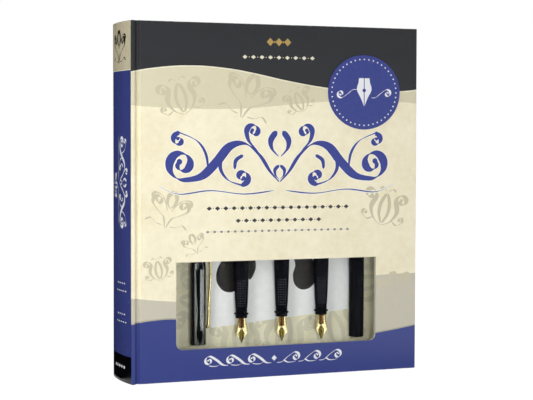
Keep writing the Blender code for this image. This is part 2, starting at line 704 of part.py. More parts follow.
def make_barrel(case, matt):
    """Pen barrel on its closed end, with the socket for a nib unit open at the top."""
    seat = empty("barrel_seat", (X_BARREL, Y_SET_BACK - BARREL_MOUTH_RADIUS, SET_BASE), case)
    profile = [(0.0, 0.0)]
    profile += arc((BARREL_END_RADIUS - BARREL_END_ROUND, BARREL_END_ROUND), BARREL_END_ROUND, 270, 360,
                   BARREL_ROUND_STEPS)
    floor = BARREL_LENGTH - BARREL_BORE_DEPTH
    profile += [(BARREL_MOUTH_RADIUS, BARREL_LENGTH), (BARREL_BORE, BARREL_LENGTH), (BARREL_BORE, floor)]
    profile.append((0.0, floor))
    finish("pen_barrel", revolve(profile, TURNED_SIDES), matt, world_place(seat), seat)


def section_profile():
    """Grip section above its nib: two blind bores, a flared ring, the tapered grip, a threaded spigot."""
    low = NIB_VISIBLE
    socket = NIB_CURVE_RADIUS + NIB_SHEET / 2 + CLEARANCE
    waist = low + SECTION_LIP_HEIGHT + SECTION_RING_HEIGHT + SECTION_WAIST_HEIGHT
    collar = waist + SECTION_GRIP_LENGTH
    spigot = collar + SECTION_COLLAR_LENGTH
    top = low + SECTION_LENGTH
    ring = low + SECTION_LIP_HEIGHT
    socket_floor = low + SECTION_NIB_SOCKET_DEPTH
    profile = [(0.0, socket_floor), (socket, socket_floor), (socket, low)]
    profile += [(SECTION_LIP_RADIUS, low), (SECTION_LIP_RADIUS, ring)]
    profile += [(SECTION_RING_RADIUS, ring + SECTION_RING_HEIGHT / 3)]
    profile += [(SECTION_RING_RADIUS, ring + SECTION_RING_HEIGHT * 2 / 3)]
    profile += [(SECTION_WAIST_RADIUS, ring + SECTION_RING_HEIGHT), (SECTION_WAIST_RADIUS, waist)]
    profile += [(SECTION_COLLAR_RADIUS, collar), (SECTION_COLLAR_RADIUS, spigot)]
    root = SECTION_SPIGOT_RADIUS
    profile.append((root, spigot))
    pitch = (top - spigot) / (THREAD_TURNS + 1)
    for i in range(THREAD_TURNS):
        base = spigot + pitch * (i + 0.5)
        profile += [(root, base), (root + THREAD_HEIGHT, base + pitch / 3), (root, base + pitch * 2 / 3)]
    bore_floor = top - SECTION_CARTRIDGE_BORE_DEPTH
    profile += [(root, top), (SECTION_CARTRIDGE_BORE, top)]
    profile += [(SECTION_CARTRIDGE_BORE, bore_floor), (0.0, bore_floor)]
    return profile


def nib_half_width(height, tip_width):
    """Half the nib blank's width at a height: the flat tip, hollow shoulders, then straight sides."""
    half_tip = tip_width / 2
    half = NIB_BLANK_WIDTH / 2
    share = min(height / NIB_SHOULDER_HEIGHT, 1.0)
    return half_tip + (half - half_tip) * share ** NIB_HOLLOW_POWER


def nib_radius(height):
    """Radius that the nib is rolled to: tight in the section, open at its shoulders."""
    open_share = (NIB_VISIBLE - height) / (NIB_VISIBLE - NIB_SHOULDER_HEIGHT)
    open_share = min(max(open_share, 0.0), 1.0)
    return NIB_CURVE_RADIUS + (NIB_SHOULDER_RADIUS - NIB_CURVE_RADIUS) * open_share ** 2


def nib_gap(height):
    """Half the width of the cut down the middle at a height, or None above the breather hole."""
    from_hole = height - NIB_BREATHER_HEIGHT
    if from_hole > NIB_BREATHER_RADIUS * NIB_HOLE_TOP_SHARE:
        return None
    if from_hole > -NIB_BREATHER_RADIUS:
        return max(NIB_SLIT / 2, math.sqrt(NIB_BREATHER_RADIUS ** 2 - from_hole ** 2))
    return NIB_SLIT / 2


def nib_rows():
    """Heights of the nib's rows, closer together round the breather hole."""
    hole = [NIB_BREATHER_HEIGHT + NIB_BREATHER_RADIUS * share for share in NIB_HOLE_ROW_SHARES]
    below = [hole[0] * i / NIB_ROWS_BELOW_HOLE for i in range(NIB_ROWS_BELOW_HOLE)]
    rest = NIB_LENGTH - hole[-1]
    above = [hole[-1] + rest * (i + 1) / NIB_ROWS_ABOVE_HOLE for i in range(NIB_ROWS_ABOVE_HOLE)]
    return below + hole + above


def nib_mesh(tip_width):
    """A gold sheet curved round the feed, slit from its tip to the breather hole."""
    bm = bmesh.new()
    rows = []
    for height in nib_rows():
        half = nib_half_width(height, tip_width)
        radius = nib_radius(height)
        gap = nib_gap(height)
        start = 0.0 if gap is None else gap
        right = []
        left = []
        for i in range(NIB_COLUMNS + 1):
            width = start + (half - start) * i / NIB_COLUMNS
            angle = width / radius
            x = radius * math.sin(angle)
            y = radius * (1 - math.cos(angle)) - NIB_CURVE_RADIUS
            right.append(bm.verts.new((x, y, height)))
            left.append(right[0] if gap is None and i == 0 else bm.verts.new((-x, y, height)))
        rows.append((right, left))
    for (right, left), (next_right, next_left) in zip(rows, rows[1:]):
        for i in range(NIB_COLUMNS):
            bm.faces.new((right[i], right[i + 1], next_right[i + 1], next_right[i]))
            bm.faces.new((left[i + 1], left[i], next_left[i], next_left[i + 1]))
    turn = Matrix.Rotation(math.radians(NIB_TURN), 3, "Z")
    bmesh.ops.rotate(bm, cent=(0.0, 0.0, 0.0), matrix=turn, verts=bm.verts)
    return bm


def feed_profile():
    """Feed under the nib: a tapered nose, comb fins, and the plain tail inside the section."""
    profile = [(0.0, FEED_TIP_HEIGHT), (FEED_TIP_RADIUS, FEED_TIP_HEIGHT)]
    start = NIB_SHOULDER_HEIGHT
    root = FEED_RADIUS - FEED_FIN_DEPTH
    pitch = (NIB_VISIBLE - start) / FEED_FINS
    for i in range(FEED_FINS):
        low = start + pitch * i
        profile += [(FEED_RADIUS, low), (FEED_RADIUS, low + pitch / 2)]
        profile += [(root, low + pitch / 2), (root, low + pitch)]
    profile += [(FEED_RADIUS, NIB_VISIBLE), (FEED_RADIUS, FEED_TOP), (0.0, FEED_TOP)]
    return profile


def make_nib_units(case, matt, gold, feed_plastic):
    """Three nib units side by side, alike but for the width of their tips."""
    section = turned_mesh("grip_section", section_profile(), TURNED_SIDES)
    feed = turned_mesh("feed", feed_profile(), FEED_SIDES)
    for number, (share, tip) in enumerate(zip(NIB_UNIT_PLACE_SHARES, NIB_TIP_WIDTHS), start=1):
        place = (X_CAP + (X_BARREL - X_CAP) * share, Y_SET_BACK - SECTION_COLLAR_RADIUS, SET_BASE)
        seat = empty(f"nib_unit_{number}_seat", place, case)
        place_mesh(f"grip_section_{number}", section, matt, place, seat)
        place_mesh(f"feed_{number}", feed, feed_plastic, place, seat)
        nib = finish(f"nib_{number}", nib_mesh(tip), gold, place, seat)
        sheet = nib.modifiers.new("sheet", "SOLIDIFY")
        sheet.thickness = NIB_SHEET
        sheet.offset = 0.0


def make_book(case, cover_paper, pages_paper, steel):
    """Stapled instruction book in the upper well, its fold towards the spine."""
    left = X_BOOK_LEFT
    right = X_BOOK_RIGHT
    low = Z_WELL
    high = Z_BOOK_TOP
    back = Y_INSIDE_BACK - PAD_BACKING - CLEARANCE - PAD_SHEETS - CLEARANCE
    block_back = back - BOOK_COVER - CLEARANCE
    block_front = block_back - BOOK_BLOCK
    front = block_front - CLEARANCE - BOOK_COVER
    block_left = left + BOOK_COVER + CLEARANCE
    box("book_pages", (block_left, block_front, low), (right, block_back, high), pages_paper, case)
    outline = [(right, front), (left, front), (left, back), (right, back), (right, back - BOOK_COVER)]
    outline += [(left + BOOK_COVER, back - BOOK_COVER), (left + BOOK_COVER, front + BOOK_COVER)]
    outline.append((right, front + BOOK_COVER))
    finish("book_cover", prism(outline, low, high, "Z"), cover_paper, parent=case, smooth=False)
    middle = (front + back) / 2
    for name, share in zip(("lower_staple", "upper_staple"), STAPLE_PLACE_SHARES):
        centre = low + (high - low) * share
        corner = (left - CLEARANCE - STAPLE_WIRE, middle - STAPLE_WIRE / 2, centre - STAPLE_LENGTH / 2)
        opposite = (left - CLEARANCE, middle + STAPLE_WIRE / 2, centre + STAPLE_LENGTH / 2)
        box(name, corner, opposite, steel, case)


def make_pad(case, paper, board):
    """Practice pad behind the book: a block of sheets on its backing board."""
    back = Y_INSIDE_BACK
    low = (X_BOOK_LEFT, back - PAD_BACKING, Z_WELL)
    box("pad_backing", low, (X_BOOK_RIGHT, back, Z_BOOK_TOP), board, case)
    back -= PAD_BACKING + CLEARANCE
    low = (X_BOOK_LEFT, back - PAD_SHEETS, Z_WELL)
    box("practice_sheets", low, (X_BOOK_RIGHT, back, Z_BOOK_TOP), paper, case)


def make_cartridges(case, card, ink_plastic):
    """Ink cartridges standing in a row in an open carton."""
    back = Y_INSIDE_BACK
    front = back - 2 * (CARTRIDGE_RADIUS + CLEARANCE + CARTON_WALL)
    low = (X_CARTON_LEFT, front, Z_WELL)
    high = (X_CARTON_RIGHT, back, Z_WELL + CARTON_HEIGHT)
    open_box("cartridge_carton", low, high, CARTON_WALL, (0.0, 0.0, 1.0), card, case)

    neck = CARTRIDGE_LENGTH - CARTRIDGE_NECK_LENGTH
    profile = [(0.0, 0.0), (CARTRIDGE_RADIUS, 0.0), (CARTRIDGE_RADIUS, neck - CARTRIDGE_SHOULDER)]
    profile += [(CARTRIDGE_NECK_RADIUS, neck), (CARTRIDGE_NECK_RADIUS, CARTRIDGE_LENGTH)]
    profile.append((0.0, CARTRIDGE_LENGTH))
    mesh = turned_mesh("ink_cartridge", profile, CARTRIDGE_SIDES)
    floor = Z_WELL + CARTON_WALL + CLEARANCE
    start = X_CARTON_LEFT + CARTON_WALL + CLEARANCE + CARTRIDGE_RADIUS
    for number in range(CARTRIDGE_COUNT):
        place = (start + CARTRIDGE_PITCH * number, (front + back) / 2, floor)
        place_mesh(f"ink_cartridge_{number + 1}", mesh, ink_plastic, place, case)


def main():
    """Clear the scene and build the kit."""
    for obj in list(bpy.data.objects):
        bpy.data.objects.remove(obj)
    paper = material("printed paper over board", (0.80, 0.76, 0.58), 0.45)
    board = material("wrapped greyboard", (0.55, 0.53, 0.48), 0.80)
    card = material("coated card", (0.78, 0.74, 0.58), 0.50)
    clear = material("clear formed sheet", (0.95, 0.95, 0.95), 0.05, alpha=0.25)
    gloss = material("glossy black plastic", (0.01, 0.01, 0.01), 0.12)
    matt = material("matt black plastic", (0.01, 0.01, 0.014), 0.45)
    gold = material("gold-plated steel", (0.80, 0.58, 0.22), 0.20, 1.0)
    white = material("writing paper", (0.85, 0.85, 0.83), 0.80)
    blue = material("blue printed paper", (0.06, 0.08, 0.27), 0.45)
    steel = material("staple wire", (0.60, 0.60, 0.60), 0.30, 1.0)
    ink = material("ink-filled plastic", (0.02, 0.02, 0.05), 0.25)

    case = empty("case", (0.0, 0.0, 0.0))
    fold = empty("spine_fold", (X_SPINE_FOLD, Y_FOLD, 0.0), case)
    cover = empty("cover_fold", (X_COVER_FOLD, Y_FOLD, 0.0), fold)

    make_spine(case, paper)
    make_boards(case, fold, cover, paper)
    make_window_pieces(cover, clear, white, blue)
    make_tray(case, board)
    make_card(case, card)
    make_blister(case, clear)
    make_cap(case, gloss, gold, matt)
    make_barrel(case, matt)
    make_nib_units(case, matt, gold, gloss)
    make_book(case, blue, white, steel)
    make_pad(case, white, board)
    make_cartridges(case, white, ink)


main()
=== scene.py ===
"""Calligraphy kit: the printed book-style case, the writing set behind its window and what lies inside."""
import math
from contextlib import contextmanager

import bmesh
import bpy
from mathutils import Matrix, Vector


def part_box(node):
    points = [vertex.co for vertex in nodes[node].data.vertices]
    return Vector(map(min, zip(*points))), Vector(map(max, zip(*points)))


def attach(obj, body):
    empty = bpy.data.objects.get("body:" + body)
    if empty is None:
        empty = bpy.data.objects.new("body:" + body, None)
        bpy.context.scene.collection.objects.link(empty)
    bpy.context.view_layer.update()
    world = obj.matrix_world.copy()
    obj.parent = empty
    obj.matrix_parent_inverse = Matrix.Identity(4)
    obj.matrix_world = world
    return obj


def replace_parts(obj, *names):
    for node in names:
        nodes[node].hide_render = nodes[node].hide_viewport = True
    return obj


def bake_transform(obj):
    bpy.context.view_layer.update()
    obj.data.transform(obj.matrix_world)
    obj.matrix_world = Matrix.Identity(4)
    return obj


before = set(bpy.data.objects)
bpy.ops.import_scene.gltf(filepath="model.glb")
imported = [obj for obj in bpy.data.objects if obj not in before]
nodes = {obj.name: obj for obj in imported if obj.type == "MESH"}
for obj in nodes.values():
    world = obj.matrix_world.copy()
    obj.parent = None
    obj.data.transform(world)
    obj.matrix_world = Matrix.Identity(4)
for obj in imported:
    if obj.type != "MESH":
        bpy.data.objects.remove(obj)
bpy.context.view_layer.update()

MM = 0.001

# Camera, fitted to the outline of the case in the photograph
PHOTO_WIDTH = 533
FOCAL_PIXELS = 1521.08
SENSOR_WIDTH = 36.0
CAMERA_PLACE = (-0.45644, -1.13900, 0.19084)
CAMERA_YAW = 21.842
CAMERA_PITCH = -2.396
CAMERA_ROLL = 0.135

# Soft light: ambient strength, then each lamp's place, aim, size in metres, power in watts and whether
# gloss shows it (the others are polarised, so that they lay no haze on the print)
AMBIENT = 0.24
LAMPS = (
    ("near softbox at the left", (-0.60, -0.50, 0.30), (-0.05, 0.0, 0.14), (0.30, 0.50), 2.7, True),
    ("key from the right", (0.95, -1.55, 0.85), (0.0, 0.0, 0.14), (0.7, 0.9), 2.5, False),
    ("low front softbox", (-0.20, -1.10, 0.12), (0.0, 0.0, 0.08), (0.25, 0.25), 3.3, False),
    ("back fill", (0.5, 1.5, 0.9), (0.0, 0.0, 0.14), (1.0, 1.0), 7.0, True),
)

# Cards that only gloss and metal show, as (name, corners, radiance): black flags behind the spine and to
# the right, then dark, light and pale cards that lie before the case, and an upright one at the right
GLOSS_CARDS = (
    ("flag behind the spine",
     ((0.25, 1.2, 0.0), (-1.7, 1.2, 0.0), (-1.7, 1.2, 1.4), (0.25, 1.2, 1.4)), 0.0),
    ("flag beside the spine",
     ((-1.7, 1.2, 0.0), (-1.7, -0.1, 0.0), (-1.7, -0.1, 1.4), (-1.7, 1.2, 1.4)), 0.0),
    ("flag at the right",
     ((0.0, -2.3, 0.0), (2.3, -0.7, 0.0), (2.3, -0.7, 1.6), (0.0, -2.3, 1.6)), 0.0),
    ("dark card beside the spine",
     ((-0.128, -0.03, 0.002), (0.10, 1.2, 0.002), (-1.7, 1.2, 0.002), (-1.7, -0.2, 0.002)), 0.0),
    ("dark card on the floor",
     ((0.15, -0.10, 0.002), (0.9, -2.5, 0.002), (-1.6, -0.9, 0.002), (-0.30, -0.17, 0.002)), 0.0),
    ("light strip on the floor",
     ((-0.02, -0.23, 0.003), (0.28, -1.40, 0.003), (1.28, -0.38, 0.003), (0.14, -0.08, 0.003)), 3.6),
    ("pale card at the left",
     ((-0.16, -0.12, 0.004), (-0.16, -0.30, 0.004), (-0.9, -0.75, 0.004), (-1.2, -0.25, 0.004)), 2.4),
    ("pale card at the right",
     ((0.75, -0.60, 0.0), (0.95, -0.35, 0.0), (0.95, -0.35, 0.5), (0.75, -0.60, 0.5)), 1.6),
)

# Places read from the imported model
SPINE_LOW, SPINE_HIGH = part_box("spine")
COVER_LOW, COVER_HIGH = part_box("front_cover")
_, BACK_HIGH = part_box("back_cover")
CARD_LOW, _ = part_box("insert_card")
LABEL_LOW, LABEL_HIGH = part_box("round_label")
BOOK_LOW, BOOK_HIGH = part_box("book_cover")
CARTON_LOW, CARTON_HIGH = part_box("cartridge_carton")
CASE_HEIGHT = COVER_HIGH.z
X_GROOVE = SPINE_HIGH.x
X_BOARD = COVER_LOW.x
Y_FACE = COVER_LOW.y
Y_BACK = BACK_HIGH.y

# Rounded spine, its shoulders and the grooves, as the case's boards are formed
SPINE_BULGE = 2.1 * MM
SPINE_BOARD = 2.5 * MM
SHOULDER_WIDTH = 3.2 * MM
SHOULDER_RISE = -1.2 * MM
SHOULDER_SQUARENESS = 0.6
PIVOT_DEPTH = 0.5 * MM
GROOVE_DEPTH = 1.5 * MM
WRAP_SHEET = 0.4 * MM
X_CORNER = SPINE_LOW.x + SPINE_BULGE
SPINE_RADIUS = (SPINE_BULGE ** 2 + Y_BACK ** 2) / (2 * SPINE_BULGE)
SPINE_CENTRE = SPINE_LOW.x + SPINE_RADIUS
EASE = 0.5 * MM

# Window in the front cover
WINDOW_LEFT = X_CORNER + 36.2 * MM
WINDOW_RIGHT = COVER_HIGH.x - 36.4 * MM
WINDOW_BOTTOM = 24.8 * MM
WINDOW_TOP = 93.0 * MM

# Writing set
NIB_TURN = math.radians(-18)
NIB_VISIBLE = 19.5 * MM
NIB_BLANK = 10.4 * MM
NIB_SHOULDER = 7.8 * MM
NIB_LENGTH = 26.8 * MM
NIB_ROLL = 3.7 * MM
NIB_OPEN_ROLL = 7.5 * MM
NIB_HOLE = 0.5 * MM
NIB_HOLE_HEIGHT = 12.0 * MM
NIB_SLIT = 0.12 * MM
NIB_SHEET = 0.3 * MM
NIB_TIPS = (0.9 * MM, 1.1 * MM, 1.5 * MM)
NIB_ROWS_BELOW = 36
NIB_ROWS_ABOVE = 20
NIB_COLUMNS = 16

# Height of a printed ink film over its paper, of each next stroke over the last, and its thickness
INK_LIFT = 0.03 * MM
INK_STEP = 0.008 * MM
INK_FILM = 0.015 * MM


def srgb(code):
    """Turn a hex colour, written as it is seen, into the linear values that shaders take."""
    shares = [int(code[i:i + 2], 16) / 255 for i in (1, 3, 5)]
    linear = [c / 12.92 if c <= 0.04045 else ((c + 0.055) / 1.055) ** 2.4 for c in shares]
    return (*linear, 1.0)


def add(tree, kind, inputs=(), **settings):
    """Add one node. Inputs are values or output sockets, named as the node names them or numbered."""
    made = tree.nodes.new(kind)
    for name, value in settings.items():
        setattr(made, name, value)
    for key, value in dict(inputs).items():
        if isinstance(value, bpy.types.NodeSocket):
            tree.links.new(value, made.inputs[key])
        else:
            made.inputs[key].default_value = value
    return made


def sum_up(tree, operation, *values):
    """The result of one Math node."""
    return add(tree, "ShaderNodeMath", dict(enumerate(values)), operation=operation).outputs[0]


def cover(tree, share, under, over):
    """Lay one colour over another by a share from 0 to 1."""
    return add(tree, "ShaderNodeMix", {0: share, 6: under, 7: over}, data_type="RGBA").outputs[2]


def new_material(name):
    """An empty material and its node tree."""
    made = bpy.data.materials.new(name)
    made.use_nodes = True
    made.node_tree.nodes.clear()
    return made, made.node_tree


def close_material(tree, inputs):
    """End a material in a Principled shader and the output."""
    shader = add(tree, "ShaderNodeBsdfPrincipled", inputs)
    add(tree, "ShaderNodeOutputMaterial", {"Surface": shader.outputs[0]})


def grain(tree, size, detail=2.0, roughness=0.5, stretch=(1.0, 1.0, 1.0)):
    """Noise whose features are about the given real size, in Object coordinates."""
    place = add(tree, "ShaderNodeTexCoord").outputs["Object"]
    place = add(tree, "ShaderNodeMapping", {"Vector": place, "Scale": stretch}).outputs[0]
    noise = add(tree, "ShaderNodeTexNoise", {"Vector": place, "Scale": 1 / size, "Detail": detail,
                                             "Roughness": roughness})
    return noise.outputs["Fac"]


def spread(tree, value, low, high, start=0.3, end=0.7):
    """Map a noise value's usual range onto a range of numbers."""
    return add(tree, "ShaderNodeMapRange", {"Value": value, "From Min": start, "From Max": end,
                                            "To Min": low, "To Max": high}).outputs[0]


def ramp(tree, fac, stops):
    """Colours along a value, from (place, hex) stops."""
    made = add(tree, "ShaderNodeValToRGB", {"Fac": fac})
    elements = made.color_ramp.elements
    while len(elements) < len(stops):
        elements.new(0.5)
    for element, (place, code) in zip(elements, stops):
        element.position = place
        element.color = srgb(code)
    return made.outputs["Color"]


def bump(tree, height, strength, depth):
    """A surface normal from a height field, whose full height is the given real depth."""
    made = add(tree, "ShaderNodeBump", {"Height": height, "Strength": strength, "Distance": depth})
    return made.outputs["Normal"]


def axes(tree):
    """Object coordinates, one output for each axis."""
    place = add(tree, "ShaderNodeTexCoord").outputs["Object"]
    return add(tree, "ShaderNodeSeparateXYZ", {"Vector": place}).outputs


# Print on the case. Each band's edge is a curve through (across, up) points, in millimetres from
# the case's front left corner.
CHARCOAL_EDGE = ((0, 240.0), (16, 242.9), (46.7, 245.5), (79, 243.8), (100, 240.6), (129.5, 234.9),
                 (163, 229.9), (196, 227.4), (228.6, 227.9), (244, 229.5))
OVERLAY_EDGE = ((0, 214.3), (32, 212.6), (68, 212.0), (97, 212.9), (130, 215.9), (163, 218.7),
                (228.7, 219.1), (244, 218.0))
GREY_EDGE = ((0, 66.6), (36, 62.8), (80, 61.5), (125, 67.0), (165, 74.0), (208.7, 77.9), (244, 78.7))
BLUE_EDGE = ((0, 46.3), (15, 48.4), (36, 48.9), (80, 42.0), (125, 31.5), (165, 27.0), (190, 28.0),
             (207.6, 30.5), (228, 33.2), (244, 35.7))
FRONT_SPAN = 244.0
CASE_SPAN = 279.0
SPINE_PATCH_EDGE = 241.0
SPINE_FOOT_EDGE = 21.1
EDGE_LINE = 0.5
# The spine's print stops this far inside the outer faces and before the grooves
FACE_MARGIN = 0.3 * MM
HINGE_MARGIN = 0.1 * MM
PARCHMENT = ((0.30, "#EADFBB"), (0.45, "#F3EACB"), (0.58, "#F9F2D6"), (0.72, "#FCF8E2"))
# Painted shade: the spine's parchment is a darker copy of the front's, for the spine that turns away from
# the light
PAINTED_SHADE_SPINE_PARCHMENT = ((0.30, "#BFB595"), (0.50, "#D2C8A9"), (0.72, "#DDD4B6"))
INK_CHARCOAL = "#313235"
INK_OVERLAY = "#CFC8AB"
INK_GREY = "#BDB9AB"
INK_BLUE = "#3C4788"
INK_SPINE_BLUE = "#3B4586"
INK_BLACK = "#060608"
INK_DEEP_LINE = "#232427"
INK_PALE_LINE = "#FBF7E4"
INK_OLIVE_LINE = "#A39F86"


def band_edge(tree, share, points):
    """Height in millimetres of a band's edge at a share of the front's width."""
    made = add(tree, "ShaderNodeFloatCurve", {"Value": share})
    line = made.mapping.curves[0]
    for across, up in points[1:-1]:
        line.points.new(across / FRONT_SPAN, up / CASE_SPAN)
    line.points[0].location = (points[0][0] / FRONT_SPAN, points[0][1] / CASE_SPAN)
    line.points[-1].location = (1.0, points[-1][1] / CASE_SPAN)
    made.mapping.update()
    return sum_up(tree, "MULTIPLY", made.outputs[0], CASE_SPAN)


def case_print(tree, place):
    """Colour of the case's print: bands on the front and the back, three fields down the spine."""
    share = add(tree, "ShaderNodeMapRange", {"Value": place["X"], "From Min": X_CORNER,
                                             "From Max": X_CORNER + FRONT_SPAN * MM}).outputs[0]
    up = sum_up(tree, "MULTIPLY", place["Z"], 1 / MM)
    # Parchment: clouds of 35 mm, blotches of 6 mm and a grain of 1 mm
    clouds = sum_up(tree, "MULTIPLY", grain(tree, 35 * MM, 5.0, 0.6), 0.45)
    blots = sum_up(tree, "MULTIPLY_ADD", grain(tree, 6 * MM, 4.0, 0.6), 0.35, clouds)
    mottle = sum_up(tree, "MULTIPLY_ADD", grain(tree, 1 * MM, 3.0), 0.20, blots)
    heights = {name: band_edge(tree, share, points) for name, points in (
        ("charcoal", CHARCOAL_EDGE), ("overlay", OVERLAY_EDGE), ("grey", GREY_EDGE), ("blue", BLUE_EDGE))}
    # Each ink: the edge that bounds it, whether it lies above that, how far off, its colour, how opaque
    layers = (
        ("overlay", True, 0.0, INK_OVERLAY, 0.72),
        ("grey", False, 0.0, INK_GREY, 0.80),
        ("charcoal", True, -2 * EDGE_LINE, INK_PALE_LINE, 0.55),
        ("charcoal", True, 0.0, INK_DEEP_LINE, 1.0),
        ("charcoal", True, EDGE_LINE, INK_CHARCOAL, 1.0),
        ("blue", False, 2 * EDGE_LINE, INK_OLIVE_LINE, 0.7),
        ("blue", False, 0.0, INK_BLUE, 1.0))
    colour = ramp(tree, mottle, PARCHMENT)
    for name, above, offset, ink, opacity in layers:
        edge = sum_up(tree, "ADD", heights[name], offset)
        mask = sum_up(tree, "GREATER_THAN" if above else "LESS_THAN", up, edge)
        colour = cover(tree, sum_up(tree, "MULTIPLY", mask, opacity), colour, srgb(ink))
    # Painted shade: the spine takes the darker copy of the parchment
    spine = ramp(tree, mottle, PAINTED_SHADE_SPINE_PARCHMENT)
    for limit, ink in ((SPINE_PATCH_EDGE + EDGE_LINE, INK_PALE_LINE), (SPINE_PATCH_EDGE, INK_SPINE_BLUE),
                       (SPINE_FOOT_EDGE, INK_BLACK)):
        spine = cover(tree, sum_up(tree, "LESS_THAN", up, limit), spine, srgb(ink))
    depth = sum_up(tree, "ABSOLUTE", place["Y"])
    inside = sum_up(tree, "LESS_THAN", depth, Y_BACK - FACE_MARGIN)
    left = sum_up(tree, "LESS_THAN", place["X"], X_GROOVE - HINGE_MARGIN)
    return cover(tree, sum_up(tree, "MULTIPLY", inside, left), colour, spine)


def laminated_print():
    """Offset print under a matt film: flat ink, a broad soft sheen, faint fibre, edges paled by rubbing and
    by a painted highlight.
    """
    made, tree = new_material("offset print, matt laminated")
    place = axes(tree)
    colour = case_print(tree, place)
    # Pale patches within half a millimetre of the boards' outer edges: rubbing that shows the white of the
    # paper, and a painted highlight along the edges
    rubbed_with_painted_highlight = sum_up(tree, "MAXIMUM", sum_up(tree, "GREATER_THAN", place["Z"], CASE_HEIGHT - EASE),
                    sum_up(tree, "GREATER_THAN", place["X"], COVER_HIGH.x - EASE))
    rubbed_with_painted_highlight = sum_up(tree, "MAXIMUM", rubbed_with_painted_highlight, sum_up(tree, "LESS_THAN", place["Z"], EASE))
    patches = spread(tree, grain(tree, 5 * MM, 4.0, 0.7), 0.0, 0.35, 0.45, 0.7)
    colour = cover(tree, sum_up(tree, "MULTIPLY", rubbed_with_painted_highlight, patches), colour, srgb("#E9E7DD"))
    # The window's cut shows the grey board
    normal = add(tree, "ShaderNodeNewGeometry").outputs["True Normal"]
    facing = add(tree, "ShaderNodeSeparateXYZ", {"Vector": normal}).outputs["Y"]
    cut = sum_up(tree, "LESS_THAN", sum_up(tree, "ABSOLUTE", facing), 0.5)
    margin = 1.0 * MM
    for axis, low, high in (("X", WINDOW_LEFT, WINDOW_RIGHT), ("Z", WINDOW_BOTTOM, WINDOW_TOP)):
        for limit, kind in ((low - margin, "GREATER_THAN"), (high + margin, "LESS_THAN")):
            cut = sum_up(tree, "MULTIPLY", cut, sum_up(tree, kind, place[axis], limit))
    board = ramp(tree, grain(tree, 0.4 * MM, 3.0), ((0.3, "#C4C1B2"), (0.7, "#E0DDCF")))
    close_material(tree, {
        "Base Color": cover(tree, cut, colour, board), "Specular IOR Level": 0.2,
        "Roughness": spread(tree, grain(tree, 12 * MM, 4.0), 0.36, 0.44),
        "Normal": bump(tree, grain(tree, 0.35 * MM, 3.0), 0.10, 0.05 * MM)})
    return made


def paper(name, stops, size, roughness, depth):
    """Paper or board: mottled colour at the pulp's real scale, fibre as fine relief, next to no gloss."""
    made, tree = new_material(name)
    colour = ramp(tree, grain(tree, size, 4.0, 0.6), stops)
    close_material(tree, {"Base Color": colour, "Roughness": roughness, "Specular IOR Level": 0.3,
                          "Normal": bump(tree, grain(tree, 0.3 * MM, 3.0), 0.25, depth)})
    return made


def sheet_block(name, stops, pitch):
    """A block of sheets: plain faces, and fine lines on its cut sides where leaf lies on leaf."""
    made, tree = new_material(name)
    place = axes(tree)
    leaves = sum_up(tree, "SINE", sum_up(tree, "MULTIPLY", place["Y"], 2 * math.pi / pitch))
    uneven = sum_up(tree, "MULTIPLY_ADD", grain(tree, 0.5 * MM, 3.0, 0.5, (0.05, 1.0, 0.05)), 2.0, leaves)
    colour = ramp(tree, spread(tree, uneven, 0.0, 1.0, 0.0, 2.0), stops)
    close_material(tree, {"Base Color": colour, "Roughness": 0.8, "Specular IOR Level": 0.3,
                          "Normal": bump(tree, uneven, 0.4, 0.05 * MM)})
    return made


# Gloss of a clear sheet seen straight on: next to none, so that no veil lies over what is behind it
FLAT_GLOSS_SHARE = 0.0001


def clear_sheet(name, tint, gloss):
    """Clear polyester: what is behind it shows, and it adds its gloss, most of it at its bends."""
    made, tree = new_material(name)
    edge = add(tree, "ShaderNodeLayerWeight", {"Blend": 0.5}).outputs["Facing"]
    share = sum_up(tree, "MULTIPLY_ADD", sum_up(tree, "POWER", edge, 3.0), gloss, FLAT_GLOSS_SHARE)
    shine = add(tree, "ShaderNodeBsdfPrincipled", {"Base Color": srgb("#F4F6F7"), "Roughness": 0.08,
                                                   "Metallic": 1.0}).outputs[0]
    through = add(tree, "ShaderNodeBsdfTransparent", {"Color": srgb(tint)}).outputs[0]
    mixed = add(tree, "ShaderNodeMixShader", {0: share, 1: through, 2: shine}).outputs[0]
    add(tree, "ShaderNodeOutputMaterial", {"Surface": mixed})
    return made


def moulded(name, stops, low, high, level, spark):
    """Injection-moulded ABS: even colour, its gloss and fine relief set by how the mould was finished."""
    made, tree = new_material(name)
    flow = grain(tree, 2 * MM, 3.0)
    close_material(tree, {"Base Color": ramp(tree, flow, stops), "Roughness": spread(tree, flow, low, high),
                          "Specular IOR Level": level,
                          "Normal": bump(tree, grain(tree, 0.15 * MM, 2.0), spark, 0.02 * MM)})
    return made


def plating(name, stops, low, high):
    """Polished plating over steel: mirror-like, with clouds where the polish is a little less."""
    made, tree = new_material(name)
    clouds = grain(tree, 1.2 * MM, 4.0, 0.6)
    close_material(tree, {"Base Color": ramp(tree, clouds, stops), "Metallic": 1.0,
                          "Roughness": spread(tree, clouds, high, low)})
    return made


def ink(name, code):
    """Printed ink under the matt film: its colour with the paper's faint mottle in it."""
    made, tree = new_material(name)
    fleck = spread(tree, grain(tree, 3 * MM, 4.0, 0.65), 0.0, 0.05)
    close_material(tree, {"Base Color": cover(tree, fleck, srgb(code), srgb("#8C8A84")),
                          "Roughness": 0.40, "Specular IOR Level": 0.2,
                          "Normal": bump(tree, grain(tree, 0.35 * MM, 3.0), 0.10, 0.05 * MM)})
    return made


# Engraving of a nib and its painted reflections, in shares of its UV map, which runs across the nib between
# its edges and up from its tip by NIB_MAP_HEIGHT
NIB_MAP_HEIGHT = 30 * MM
LEAF_TOP_SHARE = 0.36
LEAF_CURVE = 0.65
LEAF_WIDTH_SHARE = 2.15
PAINTED_DARK_REFLECTION_WIDTH_SHARE = 0.42
PAINTED_DARK_REFLECTION_FOOT_SHARE = 0.40
TIP_SHARE = 0.13
LINE_PITCH_SHARE = 0.09
LINE_WIDTH_SHARE = 0.012


